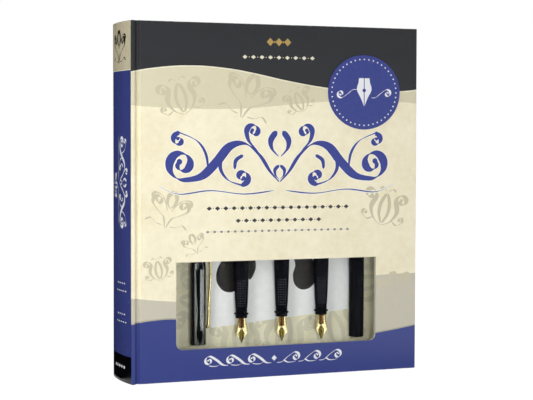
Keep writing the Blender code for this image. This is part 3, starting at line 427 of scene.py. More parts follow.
def nib_plating():
    """Gold-plated nib, engraved, with painted reflections: pale flanks painted bright, a middle under the
    section painted dark, and a darker leaf below that is engraving with painted dark reflection in it.
    """
    made, tree = new_material("gold-plated steel nib, engraved")
    uv = add(tree, "ShaderNodeTexCoord").outputs["UV"]
    across, up, _ = add(tree, "ShaderNodeSeparateXYZ", {"Vector": uv}).outputs
    off = sum_up(tree, "ABSOLUTE", sum_up(tree, "MULTIPLY_ADD", across, 2.0, -1.0))
    left_over = sum_up(tree, "MAXIMUM", sum_up(tree, "SUBTRACT", LEAF_TOP_SHARE, up), 0.0)
    leaf_edge = sum_up(tree, "MULTIPLY", sum_up(tree, "POWER", left_over, LEAF_CURVE), LEAF_WIDTH_SHARE)
    leaf = sum_up(tree, "LESS_THAN", off, leaf_edge)
    # Painted reflection: the middle under the section is painted dark brown for the dark surroundings that
    # the rounded nib reflects there
    painted_dark_reflection = sum_up(tree, "MULTIPLY", sum_up(tree, "LESS_THAN", off, PAINTED_DARK_REFLECTION_WIDTH_SHARE),
                   sum_up(tree, "GREATER_THAN", up, PAINTED_DARK_REFLECTION_FOOT_SHARE))
    tip = sum_up(tree, "LESS_THAN", up, TIP_SHARE)
    clouds = grain(tree, 0.8 * MM, 4.0, 0.6)
    # Painted reflection: the flanks' pale gold stands in for the bright surroundings they reflect, the brown
    # named satin is painted dark reflection, and the darker leaf is engraving with painted dark reflection
    # in it
    bright = ramp(tree, clouds, ((0.3, "#D5C389"), (0.7, "#ECDFB4")))
    darker = ramp(tree, clouds, ((0.3, "#5F4C1F"), (0.7, "#978345")))
    satin = ramp(tree, clouds, ((0.35, "#3A2614"), (0.65, "#7D5C36")))
    colour = cover(tree, sum_up(tree, "MAXIMUM", leaf, tip), bright, darker)
    colour = cover(tree, painted_dark_reflection, colour, satin)
    # Fine engraved lines follow the nib's edges
    lines = sum_up(tree, "PINGPONG", off, LINE_PITCH_SHARE)
    engraved = sum_up(tree, "MULTIPLY", sum_up(tree, "LESS_THAN", lines, LINE_WIDTH_SHARE), 0.55)
    colour = cover(tree, engraved, colour, srgb("#4A3B1C"))
    close_material(tree, {"Base Color": colour, "Metallic": 1.0,
                          "Roughness": spread(tree, clouds, 0.36, 0.22),
                          "Normal": bump(tree, lines, 0.5, 0.05 * MM)})
    return made


def drawn_steel():
    """Drawn steel wire: cool grey, with drawing lines along it that stretch its highlights."""
    made, tree = new_material("drawn steel wire")
    lines = grain(tree, 0.1 * MM, 2.0, 0.5, (1.0, 1.0, 0.05))
    close_material(tree, {"Base Color": ramp(tree, lines, ((0.3, "#A9AAAC"), (0.7, "#C4C5C7"))),
                          "Metallic": 1.0, "Roughness": spread(tree, lines, 0.25, 0.4)})
    return made


WRAP = laminated_print()
LINING = paper("uncoated lining paper", ((0.3, "#DEDBCB"), (0.7, "#ECE9DC")), 2 * MM, 0.85, 0.04 * MM)
TRAY = paper("paper-wrapped greyboard", ((0.3, "#ECE6D0"), (0.7, "#F5F0DE")), 3 * MM, 0.75, 0.05 * MM)
GREYBOARD = paper("greyboard", ((0.3, "#A8A498"), (0.7, "#BDB9AD")), 1 * MM, 0.9, 0.08 * MM)
CARD = paper("coated printed card", ((0.25, "#E6DEBC"), (0.5, "#F1EACD"), (0.75, "#F7F1DA")), 14 * MM,
             0.55, 0.02 * MM)
WHITE_PANEL = paper("white field of the printed card", ((0.3, "#F4F2F3"), (0.7, "#FBFAFA")), 5 * MM, 0.55,
                    0.02 * MM)
LEAVES = sheet_block("stacked writing paper", ((0.2, "#D9D7CE"), (0.8, "#F1F0EA")), 0.35 * MM)
FILM = clear_sheet("clear polyester film", "#FEFFFF", 0.03)
BLISTER = clear_sheet("vacuum-formed clear polyester", "#FEFFFE", 0.35)
GLOSS = moulded("polished moulded ABS", ((0.3, "#050506"), (0.7, "#09090A")), 0.05, 0.08, 1.0, 0.01)
MATT = moulded("fine-sparked moulded ABS", ((0.3, "#07070B"), (0.7, "#0D0D13")), 0.26, 0.36, 0.02, 0.20)
SECTION = moulded("satin moulded ABS", ((0.3, "#07070C"), (0.7, "#0C0C14")), 0.18, 0.26, 0.02, 0.08)
# Painted highlight: the studs are a lighter grey than the section, for the light that their tips catch
PAINTED_HIGHLIGHT_STUD = moulded("moulded ABS, rubbed bright", ((0.3, "#26262F"), (0.7, "#363641")), 0.25, 0.35, 0.4, 0.05)
CARTRIDGE = moulded("blown polyethylene filled with ink", ((0.3, "#0F1029"), (0.7, "#171836")), 0.20, 0.28,
                    0.5, 0.05)
GOLD = plating("gold-coloured plating, polished", ((0.3, "#A28C4E"), (0.7, "#DECB94")), 0.12, 0.22)
NIB_GOLD = nib_plating()
STEEL = drawn_steel()
BLUE_INK = ink("printed ink, blue", "#384392")
LABEL_INK = ink("printed label, blue", "#3A458D")
KEYLINE_INK = ink("printed ink, pale keyline", "#FDFAEA")
SCROLL_INK = ink("printed ink, stone grey", "#D0C8AB")
CARD_SCROLL_INK = ink("printed ink, pale stone grey", "#DFD8BF")
BLACK_INK = ink("printed ink, black", "#0A0A0C")
DARK_INK = ink("printed ink, dark grey", "#37363A")
MID_INK = ink("printed ink, mid grey", "#8B8A8C")
WHITE_INK = ink("printed ink, white", "#F1F2F6")
CREAM_INK = ink("printed ink, cream", "#E9E3CB")
GOLD_INK = ink("printed ink, gold", "#B79A5A")
BRUSH_INK = ink("printed ink, warm black", "#1C1818")


def placed(name, data):
    """A new object in the scene."""
    made = bpy.data.objects.new(name, data)
    bpy.context.scene.collection.objects.link(made)
    return made


def piece(name, bm, material, body, smooth=True):
    """Make a finished object from a bmesh, whose place is in its mesh, and let it ride on a body."""
    bmesh.ops.recalc_face_normals(bm, faces=bm.faces)
    mesh = bpy.data.meshes.new(name)
    bm.to_mesh(mesh)
    bm.free()
    mesh.materials.append(material)
    if smooth:
        mesh.shade_smooth()
        mesh.set_sharp_from_angle(angle=math.radians(32))
    made = placed(name, mesh)
    if body:
        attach(made, body)
    return made


@contextmanager
def printed(name, material, body="cover", slot="case_board"):
    """A bmesh to lay ink in, which becomes one printed piece at the end of its block."""
    bm = bmesh.new()
    yield bm
    piece(name, bm, material, body, smooth=False)


def paint(names, material):
    """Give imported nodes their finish."""
    for name in names.split():
        mesh = nodes[name].data
        mesh.materials.clear()
        mesh.materials.append(material)


def skin(bm, first, second):
    """Join two rings of vertices, or a ring and a pole, with faces."""
    count = max(len(first), len(second))
    for i in range(count):
        j = (i + 1) % count
        if len(first) == 1:
            bm.faces.new((first[0], second[i], second[j]))
        elif len(second) == 1:
            bm.faces.new((first[i], second[0], first[j]))
        else:
            bm.faces.new((first[i], second[i], second[j], first[j]))


def loft(bm, rings):
    """Join a run of rings of vertices with faces, and close both of its ends."""
    for first, second in zip(rings, rings[1:]):
        skin(bm, first, second)
    bm.faces.new(rings[0])
    bm.faces.new(rings[-1])


def turned(bm, profile, centre, sides=96):
    """Turn an (r, z) profile in millimetres about the upright line through a centre.

    Radius 0 closes an end.
    """
    rings = []
    for radius, height in [(r * MM, z * MM) for r, z in profile]:
        if radius == 0.0:
            rings.append([bm.verts.new((centre.x, centre.y, centre.z + height))])
            continue
        ring = []
        for i in range(sides):
            angle = 2 * math.pi * i / sides
            ring.append(bm.verts.new((centre.x + radius * math.cos(angle),
                                      centre.y + radius * math.sin(angle), centre.z + height)))
        rings.append(ring)
    for first, second in zip(rings, rings[1:]):
        skin(bm, first, second)
    if len(rings[0]) > 1 and len(rings[-1]) > 1:
        skin(bm, rings[-1], rings[0])


def turned_piece(name, profile, seat, material, node, sides=96):
    """One turned piece of the writing set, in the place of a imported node."""
    bm = bmesh.new()
    turned(bm, profile, seat, sides)
    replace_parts(piece(name, bm, material, "case"), node)


ROUND_STEPS = 6
OVAL_SIDES = 16
OVAL_SQUARENESS = 0.7


def rounded(profile, radii):
    """Round corners of a profile, given as {index: radius}, by curves that run tangent to both sides."""
    made = []
    for index, point in enumerate(profile):
        if index not in radii:
            made.append(point)
            continue
        before, corner, after = (Vector(profile[i]) for i in (index - 1, index, index + 1))
        way_in, way_out = (before - corner).normalized(), (after - corner).normalized()
        reach = radii[index] / math.tan(way_in.angle(way_out) / 2)
        start, end = corner + way_in * reach, corner + way_out * reach
        for i in range(ROUND_STEPS + 1):
            t = i / ROUND_STEPS
            bend = start * (1 - t) ** 2 + corner * (2 * t * (1 - t)) + end * t ** 2
            made.append((bend.x, bend.y))
    return made


def sweep(bm, path, section, flat):
    """Carry a closed section along a path that lies in a plane; flat is the plane's normal."""
    rings = []
    for i, place in enumerate(path):
        along = (path[min(i + 1, len(path) - 1)] - path[max(i - 1, 0)]).normalized()
        across = along.cross(flat)
        rings.append([bm.verts.new(place + across * a + flat * b) for a, b in section])
    loft(bm, rings)


def oval(width, depth):
    """A section between an ellipse and a rectangle."""
    points = []
    for i in range(OVAL_SIDES):
        angle = 2 * math.pi * (i + 0.5) / OVAL_SIDES
        cos, sin = math.cos(angle), math.sin(angle)
        points.append((math.copysign(abs(cos) ** OVAL_SQUARENESS, cos) * width / 2,
                       math.copysign(abs(sin) ** OVAL_SQUARENESS, sin) * depth / 2))
    return points


# Places that ink lies on. Across and up are in millimetres, lift in metres off the surface.


def on_front(across, up, lift):
    """Over the front cover's face, from the case's front left corner."""
    return Vector((X_CORNER + across * MM, Y_FACE - lift, up * MM))


def on_spine(across, up, lift):
    """Over the rounded spine, from its middle towards the front cover."""
    y = -across * MM
    outward = Vector((-math.sqrt(SPINE_RADIUS ** 2 - y * y), y)) / SPINE_RADIUS
    off = outward * (SPINE_RADIUS + lift)
    return Vector((SPINE_CENTRE + off.x, off.y, up * MM))


def on_card(across, up, lift):
    """Over the insert card's front, from the middle of the case."""
    return Vector((across * MM, CARD_LOW.y - lift, up * MM))


def on_face_of(low, high):
    """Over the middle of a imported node's front."""
    middle = (low + high) / 2
    return lambda across, up, lift: Vector((middle.x + across * MM, low.y - lift, middle.z + up * MM))


on_label = on_face_of(LABEL_LOW, LABEL_HIGH)
on_book = on_face_of(BOOK_LOW, BOOK_HIGH)
on_carton = on_face_of(CARTON_LOW, CARTON_HIGH)

# Pen ornaments, each stroke as (places, (radius, turns) of the curl that it ends in or None, width
# where the pen is broadside), in millimetres from the ornament's middle. Strokes of a mirrored
# ornament are its right half.
TITLE_FLOURISH = (
    (((0.5, -18), (8, -10), (17, 3), (29, 12), (42, 10), (53, -2), (65, -13), (79, -16)), (12.5, 1.4), 7.6),
    (((12, -4), (20, 7), (26, 14), (28, 20)), (6.2, 1.15), 4.8),
    (((48, 4), (50, -7), (44, -16), (34, -20)), (6.4, -1.2), 5.4),
    (((60, -9), (62, 4), (69, 14), (82, 20)), (5.6, -1.15), 4.6),
    (((5, -25), (30, -27.5), (58, -24.5), (84, -27), (100, -21)), None, 2.0),
    (((31, 3), (37, -1), (38, -8)), None, 3.4),
    (((2.5, 22), (7.5, 15), (6.5, 8), (1, 2)), None, 5.0),
    (((0.4, -5), (4, -8.5), (3.4, -13), (0.4, -16)), None, 3.0),
)
WAVE_SCROLL = (
    (((-9, -3.4), (-5, -2.9), (-1, 0.2), (3.6, 3.1)), (3.4, -1.25), 2.0),
    (((-4, -1.6), (-1.2, -3.4), (2.5, -3.6), (5.5, -3.0)), None, 1.1),
)
FLEURON = (
    (((0.4, -13), (3, -6), (8, -2.5), (12.5, 1)), (4.4, 1.1), 3.2),
    (((1.5, -1), (4, 4), (8, 8.5), (12, 9.5)), (3.0, -1.0), 2.2),
    (((0.5, 13.5), (3.2, 9), (2.8, 4.5), (0.3, 1)), None, 3.0),
    (((3, -11.5), (7.5, -11), (12, -8.5), (16, -11)), None, 1.6),
)
LYRE = (
    (((0.5, -17), (9, -12), (14, -2), (11, 8)), (6.6, -1.15), 5.2),
    (((0.5, -15), (4.5, -6), (4.5, 4), (0.5, 14)), None, 4.2),
    (((10, -11), (16, -14), (21, -11)), (3.2, 1.0), 2.8),
    (((1.5, 16), (5, 19), (9, 17)), None, 2.4),
)


# Slant of the pen's nib in degrees, and shares of a stroke: its hairline's width, the taper at each
# end, how much it thins by its far end, how far a curl closes in, and the dot that ends a curl
PEN_SLANT = 28
HAIR_SHARE = 0.12
TAPER_SHARE = 0.14
THINNING_SHARE = 0.35
CURL_SHARE = 0.78
DOT_SHARE = 0.30
# A dot lies over its own stroke, under the next
DOT_LEVEL = 0.75


def smooth_path(points, steps=8):
    """A smooth run of places through the given ones (Catmull-Rom)."""
    run = [points[0], *points, points[-1]]
    path = []
    for ends in zip(run, run[1:], run[2:], run[3:]):
        for i in range(steps):
            t = i / steps
            path.append(tuple(0.5 * (2 * b + (c - a) * t + (2 * a - 5 * b + 4 * c - d) * t * t
                                     + (3 * b - a - 3 * c + d) * t ** 3) for a, b, c, d in zip(*ends)))
    path.append(points[-1])
    return path


def curl(before, start, radius, turns):
    """Places along a spiral that goes on from a stroke and closes in on itself."""
    heading = math.atan2(start[1] - before[1], start[0] - before[0])
    side = heading + math.copysign(math.pi / 2, turns)
    centre = (start[0] + radius * math.cos(side), start[1] + radius * math.sin(side))
    count = round(abs(turns) * 10)
    places = []
    for i in range(1, count + 1):
        share = i / count
        size = radius * (1 - CURL_SHARE * share ** 0.9)
        angle = side + math.pi + 2 * math.pi * turns * share
        places.append((centre[0] + size * math.cos(angle), centre[1] + size * math.sin(angle)))
    return places


def pen_edges(path, width, swell):
    """Both edges of a broad pen's stroke: widest across the nib's angle, fine along it and at its ends."""
    edges = ([], [])
    last = len(path) - 1
    for i, (x, y) in enumerate(path):
        before, after = path[max(i - 1, 0)], path[min(i + 1, last)]
        heading = math.atan2(after[1] - before[1], after[0] - before[0])
        share = i / last
        fade = math.sin(math.pi / 2 * min(1.0, share / TAPER_SHARE, (1 - share) / TAPER_SHARE))
        broad = abs(math.sin(heading - math.radians(PEN_SLANT))) ** 1.3
        full = width / 2 * (HAIR_SHARE + (1 - HAIR_SHARE) * broad * fade)
        half = full * (1 - THINNING_SHARE * share ** 3) + swell
        for side, edge in zip((1, -1), edges):
            edge.append((x - side * half * math.sin(heading), y + side * half * math.cos(heading)))
    return edges


def lay_stroke(bm, edges, place, level):
    """Build one stroke between its edges, as a film of ink that lies over itself where it crosses itself."""
    rings = []
    for i, (a, b) in enumerate(zip(*edges)):
        low = INK_LIFT + INK_STEP * (level + 0.5 * i / len(edges[0]))
        high = low + INK_FILM
        rings.append([bm.verts.new(place(*p)) for p in ((*a, low), (*b, low), (*b, high), (*a, high))])
    loft(bm, rings)


def lay_patch(bm, outline, place, level):
    """Build one filled outline, as a thin film of ink."""
    low = INK_LIFT + INK_STEP * level
    heights = (low, low + INK_FILM)
    loft(bm, [[bm.verts.new(place(*point, height)) for point in outline] for height in heights])


CIRCLE_SIDES = 24


def circle(x, y, radius):
    """Places round a circle."""
    angles = [2 * math.pi * i / CIRCLE_SIDES for i in range(CIRCLE_SIDES)]
    return [(x + radius * math.cos(a), y + radius * math.sin(a)) for a in angles]


def lozenge(x, y, width, height):
    """Corners of a lozenge."""
    return [(x + width / 2, y), (x, y + height / 2), (x - width / 2, y), (x, y - height / 2)]


def ornament(bm, strokes, middle, place, mirrored=True, scale=1.0, turn=0.0, swell=0.0, level=0):
    """Lay a pen ornament about its middle, scaled and turned. Swell widens it into a keyline."""
    angle = math.radians(turn)
    for number, (points, end, width) in enumerate(strokes):
        if end:
            points = (*points, *curl(points[-2], points[-1], *end))
        path = smooth_path(points)
        dot = circle(*path[-1], width * DOT_SHARE + swell / scale) if end else None
        for side in (1, -1) if mirrored else (1,):
            def set_down(point, side=side):
                x, y = side * scale * point[0], scale * point[1]
                return (middle[0] + x * math.cos(angle) - y * math.sin(angle),
                        middle[1] + x * math.sin(angle) + y * math.cos(angle))
            edges = [[set_down(point) for point in edge] for edge in pen_edges(path, width, swell / scale)]
            lay_stroke(bm, edges, place, level + number)
            if dot:
                lay_patch(bm, [set_down(point) for point in dot], place, level + number + DOT_LEVEL)


def new_geometry_tree(name, sizes):
    """An empty Geometry Nodes tree with named size inputs and a finish, and its inputs' sockets."""
    tree = bpy.data.node_groups.new(name, "GeometryNodeTree")
    for label, value in sizes:
        kind = "NodeSocketInt" if isinstance(value, int) else "NodeSocketFloat"
        tree.interface.new_socket(label, in_out="INPUT", socket_type=kind).default_value = value
    tree.interface.new_socket("Finish", in_out="INPUT", socket_type="NodeSocketMaterial")
    tree.interface.new_socket("Geometry", in_out="OUTPUT", socket_type="NodeSocketGeometry")
    return tree, add(tree, "NodeGroupInput").outputs


def close_geometry_tree(tree, geometry, finish):
    """End a Geometry Nodes tree: real geometry with its material."""
    real = add(tree, "GeometryNodeRealizeInstances", {0: geometry}).outputs[0]
    done = add(tree, "GeometryNodeSetMaterial", {"Geometry": real, "Material": finish}).outputs[0]
    add(tree, "NodeGroupOutput", {0: done})


def span_of(tree, count, pitch):
    """Length from the first to the last of a row."""
    return sum_up(tree, "MULTIPLY", sum_up(tree, "SUBTRACT", count, 1.0), pitch)


def lozenge_row_tree():
    """Geometry Nodes that lay lozenges in a row across, with small ones between them."""
    tree, size = new_geometry_tree("row of lozenges", (
        ("Count", 9), ("Pitch", 7.0), ("Width", 4.0), ("Height", 3.0), ("Small Share", 0.3)))
    shape = add(tree, "GeometryNodeMeshCylinder", {"Vertices": 4, "Radius": 0.5, "Depth": 1.0})
    joined = add(tree, "GeometryNodeJoinGeometry")
    small = sum_up(tree, "MULTIPLY", size["Height"], size["Small Share"])
    less = sum_up(tree, "SUBTRACT", size["Count"], 1.0)
    for count, width, height in ((size["Count"], size["Width"], size["Height"]), (less, small, small)):
        step = add(tree, "ShaderNodeCombineXYZ", {0: size["Pitch"]}).outputs[0]
        half = sum_up(tree, "MULTIPLY", span_of(tree, count, size["Pitch"]), -0.5)
        start = add(tree, "ShaderNodeCombineXYZ", {0: half}).outputs[0]
        line = add(tree, "GeometryNodeMeshLine", {"Count": count, "Start Location": start, "Offset": step})
        scale = add(tree, "ShaderNodeCombineXYZ", {0: width, 1: height, 2: 1.0}).outputs[0]
        row = add(tree, "GeometryNodeInstanceOnPoints", {
            "Points": line.outputs[0], "Instance": shape.outputs["Mesh"], "Scale": scale})
        tree.links.new(row.outputs[0], joined.inputs[0])
    close_geometry_tree(tree, joined.outputs[0], size["Finish"])
    return tree


def stud_field_tree():
    """Geometry Nodes that lay a field of low round studs."""
    tree, size = new_geometry_tree("field of grip studs", (
        ("Columns", 4), ("Rows", 11), ("Step Across", 1.9), ("Step Up", 2.0), ("Stud Radius", 0.55),
        ("Stud Height", 0.32)))
    field = add(tree, "GeometryNodeMeshGrid", {
        "Size X": span_of(tree, size["Columns"], size["Step Across"]),
        "Size Y": span_of(tree, size["Rows"], size["Step Up"]),
        "Vertices X": size["Columns"], "Vertices Y": size["Rows"]})
    stud = add(tree, "GeometryNodeMeshUVSphere", {"Segments": 10, "Rings": 6, "Radius": 1.0})
    scale = add(tree, "ShaderNodeCombineXYZ", {0: size["Stud Radius"], 1: size["Stud Radius"],
                                               2: size["Stud Height"]}).outputs[0]
    studs = add(tree, "GeometryNodeInstanceOnPoints", {
        "Points": field.outputs[0], "Instance": stud.outputs[0], "Scale": scale})
    close_geometry_tree(tree, studs.outputs[0], size["Finish"])
    return tree


def grown(tree, values):
    """Run a Geometry Nodes tree with these sizes and return its result as a plain mesh."""
    carrier = placed("carrier", bpy.data.meshes.new("carrier"))
    modifier = carrier.modifiers.new("grow", "NODES")
    modifier.node_group = tree
    for item in tree.interface.items_tree:
        if item.in_out == "INPUT" and item.name in values:
            modifier[item.identifier] = values[item.name]
    graph = bpy.context.evaluated_depsgraph_get()
    mesh = bpy.data.meshes.new_from_object(carrier.evaluated_get(graph), depsgraph=graph)
    bpy.data.objects.remove(carrier)
    return mesh


def lay_grown(bm, tree, values, place):
    """Add a grown mesh, drawn flat, to a piece: place says where each of its points lies."""
    mesh = grown(tree, values)
    start = len(bm.verts)
    bm.from_mesh(mesh)
    bm.verts.ensure_lookup_table()
    for vertex in bm.verts[start:]:
        vertex.co = place(*vertex.co)
    bpy.data.meshes.remove(mesh)


def row_of_lozenges(bm, middle, place, count, pitch, width, height):
    """Lay one row of lozenges about its middle."""
    def set_down(x, y, z):
        return place(middle[0] + x, middle[1] + y, INK_LIFT + INK_FILM * (z + 0.5))
    lay_grown(bm, LOZENGE_ROW, {"Count": count, "Pitch": pitch, "Width": width, "Height": height}, set_down)


LOZENGE_ROW = lozenge_row_tree()
STUD_FIELD = stud_field_tree()


BEAD_STEPS = 24
ARC_STEPS = 64


def spine_outline():
    """Outline of the spine's board, clockwise from above: shoulders, rounded back, inner face.

    Returns the points and how many of them, from the second on, lie on the outside.
    """
    half = SHOULDER_WIDTH / 2
    bead = []
    for i in range(BEAD_STEPS + 1):
        angle = math.pi * i / BEAD_STEPS
        across = math.copysign(abs(math.cos(angle)) ** SHOULDER_SQUARENESS, math.cos(angle))
        rise = abs(math.sin(angle)) ** SHOULDER_SQUARENESS
        bead.append((X_CORNER + half + half * across, Y_FACE + SHOULDER_RISE * rise))
    arcs = []
    for inset, reach in ((0.0, Y_BACK), (SPINE_BOARD, Y_BACK - SPINE_BOARD)):
        steps = [-reach + 2 * reach * i / ARC_STEPS for i in range(ARC_STEPS + 1)]
        arcs.append([(SPINE_CENTRE - math.sqrt((SPINE_RADIUS - inset) ** 2 - y * y), y) for y in steps])
    outside = bead + arcs[0][1:-1] + [(x, -y) for x, y in reversed(bead)]
    ends = (X_GROOVE, -Y_BACK + SPINE_BOARD), (X_GROOVE, Y_BACK - SPINE_BOARD)
    return [ends[0], *outside, ends[1], *reversed(arcs[1])], len(outside)


def make_spine():
    """Spine board in its wrap, its outside eased at head and tail."""
    bm = bmesh.new()
    outline, outside = spine_outline()
    rings = []
    part_way = EASE * 0.3
    for inset, height in ((EASE, 0.0), (part_way, part_way), (0.0, EASE), (0.0, CASE_HEIGHT - EASE),
                          (part_way, CASE_HEIGHT - part_way), (EASE, CASE_HEIGHT)):
        ring = []
        for i, (x, y) in enumerate(outline):
            if 1 <= i <= outside:
                before, after = outline[i - 1], outline[i + 1]
                along = Vector((after[0] - before[0], after[1] - before[1])).normalized()
                x, y = x + along.y * inset, y - along.x * inset
            ring.append(bm.verts.new((x, y, height)))
        rings.append(ring)
    loft(bm, rings)
    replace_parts(piece("spine_wrapped_board", bm, WRAP, "case"), "spine")


GROOVE_STEPS = 32
BEND_ROWS = 24
# How far the wrap is tucked past the groove's two edges, and how far from a fold a bend would reach; nothing
# bends the strips
WRAP_TUCK = 0.5 * MM
BEND_REACH = 0.9 * MM


def groove_profile(sign):
    """The wrap's line from the shoulder down into the groove and up to the board, as (x, y)."""
    line = []
    for i in range(GROOVE_STEPS + 1):
        share = i / GROOVE_STEPS
        depth = PIVOT_DEPTH + GROOVE_DEPTH * math.sin(math.pi * share)
        line.append((X_GROOVE + (X_BOARD - X_GROOVE) * share, sign * (Y_FACE + depth)))
    return line


def strip_between(bm, line, rows):
    """A sheet of wrap along an (x, y) line, with rows up its height so that it can bend."""
    side = []
    for i, (x, y) in enumerate(line):
        before = Vector(line[max(i - 1, 0)])
        after = Vector(line[min(i + 1, len(line) - 1)])
        across = (after - before).normalized()
        side.append((x - across.y * WRAP_SHEET, y + across.x * WRAP_SHEET))
    outline = line + list(reversed(side))
    loft(bm, [[bm.verts.new((x, y, CASE_HEIGHT * k / rows)) for x, y in outline] for k in range(rows + 1)])


def make_grooves():
    """Wrap over the two grooves; the front one is built as two strips, one from the shoulder and one from
    the board.
    """
    line = groove_profile(1)
    middle = len(line) // 2
    left = [(X_GROOVE - WRAP_TUCK, line[0][1])] + line[:middle + 1]
    right = line[middle:] + [(X_BOARD + WRAP_TUCK, line[-1][1])]
    inner, outer = BEND_REACH, BEND_REACH / 2
    for name, run, bodies, low, high in (
            ("shoulder_side_wrap", left, ("case", "joint_strip"), X_GROOVE - outer, X_GROOVE + inner),
            ("board_side_wrap", right, ("joint_strip", "cover"), X_BOARD - inner, X_BOARD + outer)):
        bm = bmesh.new()
        strip_between(bm, run, BEND_ROWS)
        wrap = piece(name, bm, WRAP, None)
        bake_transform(wrap)
        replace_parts(wrap, "front_joint")
    bm = bmesh.new()
    strip_between(bm, list(reversed(groove_profile(-1))), 1)
    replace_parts(piece("back_groove_wrap", bm, WRAP, "case"), "back_joint")


# Stone-grey scrolls on the front: strokes, middle, scale and turn
FRONT_SCROLLS = (
    (LYRE, (40, 221), 0.80, 14), (FLEURON, (96, 222), 1.35, -20), (LYRE, (139, 219), 0.55, 24),
    (FLEURON, (31, 134), 1.1, -16), (LYRE, (22, 88), 0.5, 10), (FLEURON, (51, 107), 0.62, 20),
    (LYRE, (215, 133), 0.85, -14), (FLEURON, (225, 68), 0.95, 12))


TITLE_MIDDLE = (122.5, 173)
KEYLINE_SWELL = 0.6
# Rows of lozenges on the front, as (middle, count, pitch, width, height), with their piece and ink
FRONT_ROWS = (
    ("caption_rows", DARK_INK, (((122, 134.5), 18, 6.9, 4.4, 3.4), ((122, 124.6), 11, 6.9, 4.4, 3.4))),
    ("caption_row_grey", MID_INK, (((122, 116.2), 22, 5.7, 3.2, 2.2),)),
    ("head_row", CREAM_INK, (((121.7, 253), 9, 7.2, 4.0, 3.2),)),
    ("head_lozenge", GOLD_INK, (((121.7, 265.2), 3, 7.4, 6.0, 6.4),)))
# Wave scrolls along the foot, to both sides of a lozenge
FOOT_MIDDLE = (118.3, 14.8)
FOOT_FIRST = 12.5
FOOT_PITCH = 18.3
FOOT_LOZENGE = 4.6


def make_front_print():
    """Ornaments printed on the front cover."""
    with printed("stone_scrolls", SCROLL_INK) as bm:
        for strokes, middle, scale, turn in FRONT_SCROLLS:
            ornament(bm, strokes, middle, on_front, scale=scale, turn=turn)
    # The title's ornament lies in its ink over a pale keyline of itself
    for name, material, swell, level in (("title_flourish_keyline", KEYLINE_INK, KEYLINE_SWELL, 0),
                                         ("title_flourish_ink", BLUE_INK, 0.0, len(TITLE_FLOURISH))):
        with printed(name, material) as bm:
            ornament(bm, TITLE_FLOURISH, TITLE_MIDDLE, on_front, swell=swell, level=level)
    for name, material, rows in FRONT_ROWS:
        with printed(name, material) as bm:
            for middle, *sizes in rows:
                row_of_lozenges(bm, middle, on_front, *sizes)
    with printed("foot_scroll", WHITE_INK) as bm:
        for side in (1, -1):
            strokes = [([(side * x, y) for x, y in points], (end[0], side * end[1]) if end else None, width)
                       for points, end, width in WAVE_SCROLL]
            for step in range(3):
                across = FOOT_MIDDLE[0] + side * (FOOT_FIRST + FOOT_PITCH * step)
                ornament(bm, strokes, (across, FOOT_MIDDLE[1]), on_front, mirrored=False, scale=1.12)
        lay_patch(bm, lozenge(*FOOT_MIDDLE, FOOT_LOZENGE, FOOT_LOZENGE), on_front, 0)


# Emblem of the label: right edge of its nib and half of the slit, the scrolls beside it, its hole as
# (across, up, radius), and the ring of lozenges inside the label's edge
EMBLEM_EDGE = ((0.0, -13.0), (0.9, -9.5), (3.4, -4.0), (6.2, 1.0), (6.4, 4.2), (5.2, 7.6), (4.6, 11.5))
EMBLEM_SLIT = 0.35
EMBLEM_SCROLL_PLACE = (15.5, -1.0)
EMBLEM_HOLE = (0.0, 1.6, 1.5)
EMBLEM_HOLE_LEVEL = 4
RING_INSET = 3.4
RING_COUNT = 44
RING_LOZENGE = 1.5


def make_label_print():
    """White emblem of the label: a writing nib between two scrolls, in a ring of small lozenges."""
    with printed("label_emblem", WHITE_INK, slot="label_paper") as bm:
        edge = smooth_path(list(EMBLEM_EDGE), 5)
        for side in (1, -1):
            half = [(side * max(x, EMBLEM_SLIT), y) for x, y in (*edge, (0.0, EMBLEM_EDGE[-1][1]))]
            lay_patch(bm, half, on_label, 0)
            middle = (side * EMBLEM_SCROLL_PLACE[0], EMBLEM_SCROLL_PLACE[1])
            ornament(bm, WAVE_SCROLL[:1], middle, on_label, mirrored=False, turn=90 - side * 90)
        wide, tall = ((LABEL_HIGH[i] - LABEL_LOW[i]) / 2 / MM - RING_INSET for i in (0, 2))
        for i in range(RING_COUNT):
            angle = 2 * math.pi * i / RING_COUNT
            corners = lozenge(wide * math.cos(angle), tall * math.sin(angle), RING_LOZENGE, RING_LOZENGE)
            lay_patch(bm, corners, on_label, 0)
    with printed("label_nib_hole", LABEL_INK, slot="label_paper") as bm:
        lay_patch(bm, circle(*EMBLEM_HOLE), on_label, EMBLEM_HOLE_LEVEL)


# Rows of lozenges on the spine, as (middle, count, pitch, width, height), and the rule between them
SPINE_ROWS = (((4, 77), 4, 5.0, 3.0, 1.6), ((4, 71), 5, 5.0, 3.0, 1.6), ((4, 53), 4, 5.0, 3.0, 1.6),
              ((4, 47), 5, 5.0, 3.0, 1.6), ((0, 12), 5, 5.4, 3.8, 3.0))
SPINE_RULE = ((-12, 62.9), (20, 62.9), (20, 63.4), (-12, 63.4))


def make_spine_print():
    """Ornaments printed down the spine."""
    with printed("spine_fleuron", BLACK_INK, "case") as bm:
        ornament(bm, FLEURON, (-0.5, 259.5), on_spine, scale=0.98)
    with printed("spine_flourish", WHITE_INK, "case") as bm:
        ornament(bm, TITLE_FLOURISH, (7.5, 155), on_spine, scale=0.375, turn=-90)
        ornament(bm, FLEURON, (-14.5, 152.5), on_spine, scale=0.62, turn=-90)
        for middle, *sizes in SPINE_ROWS:
            row_of_lozenges(bm, middle, on_spine, *sizes)
        lay_patch(bm, SPINE_RULE, on_spine, 0)


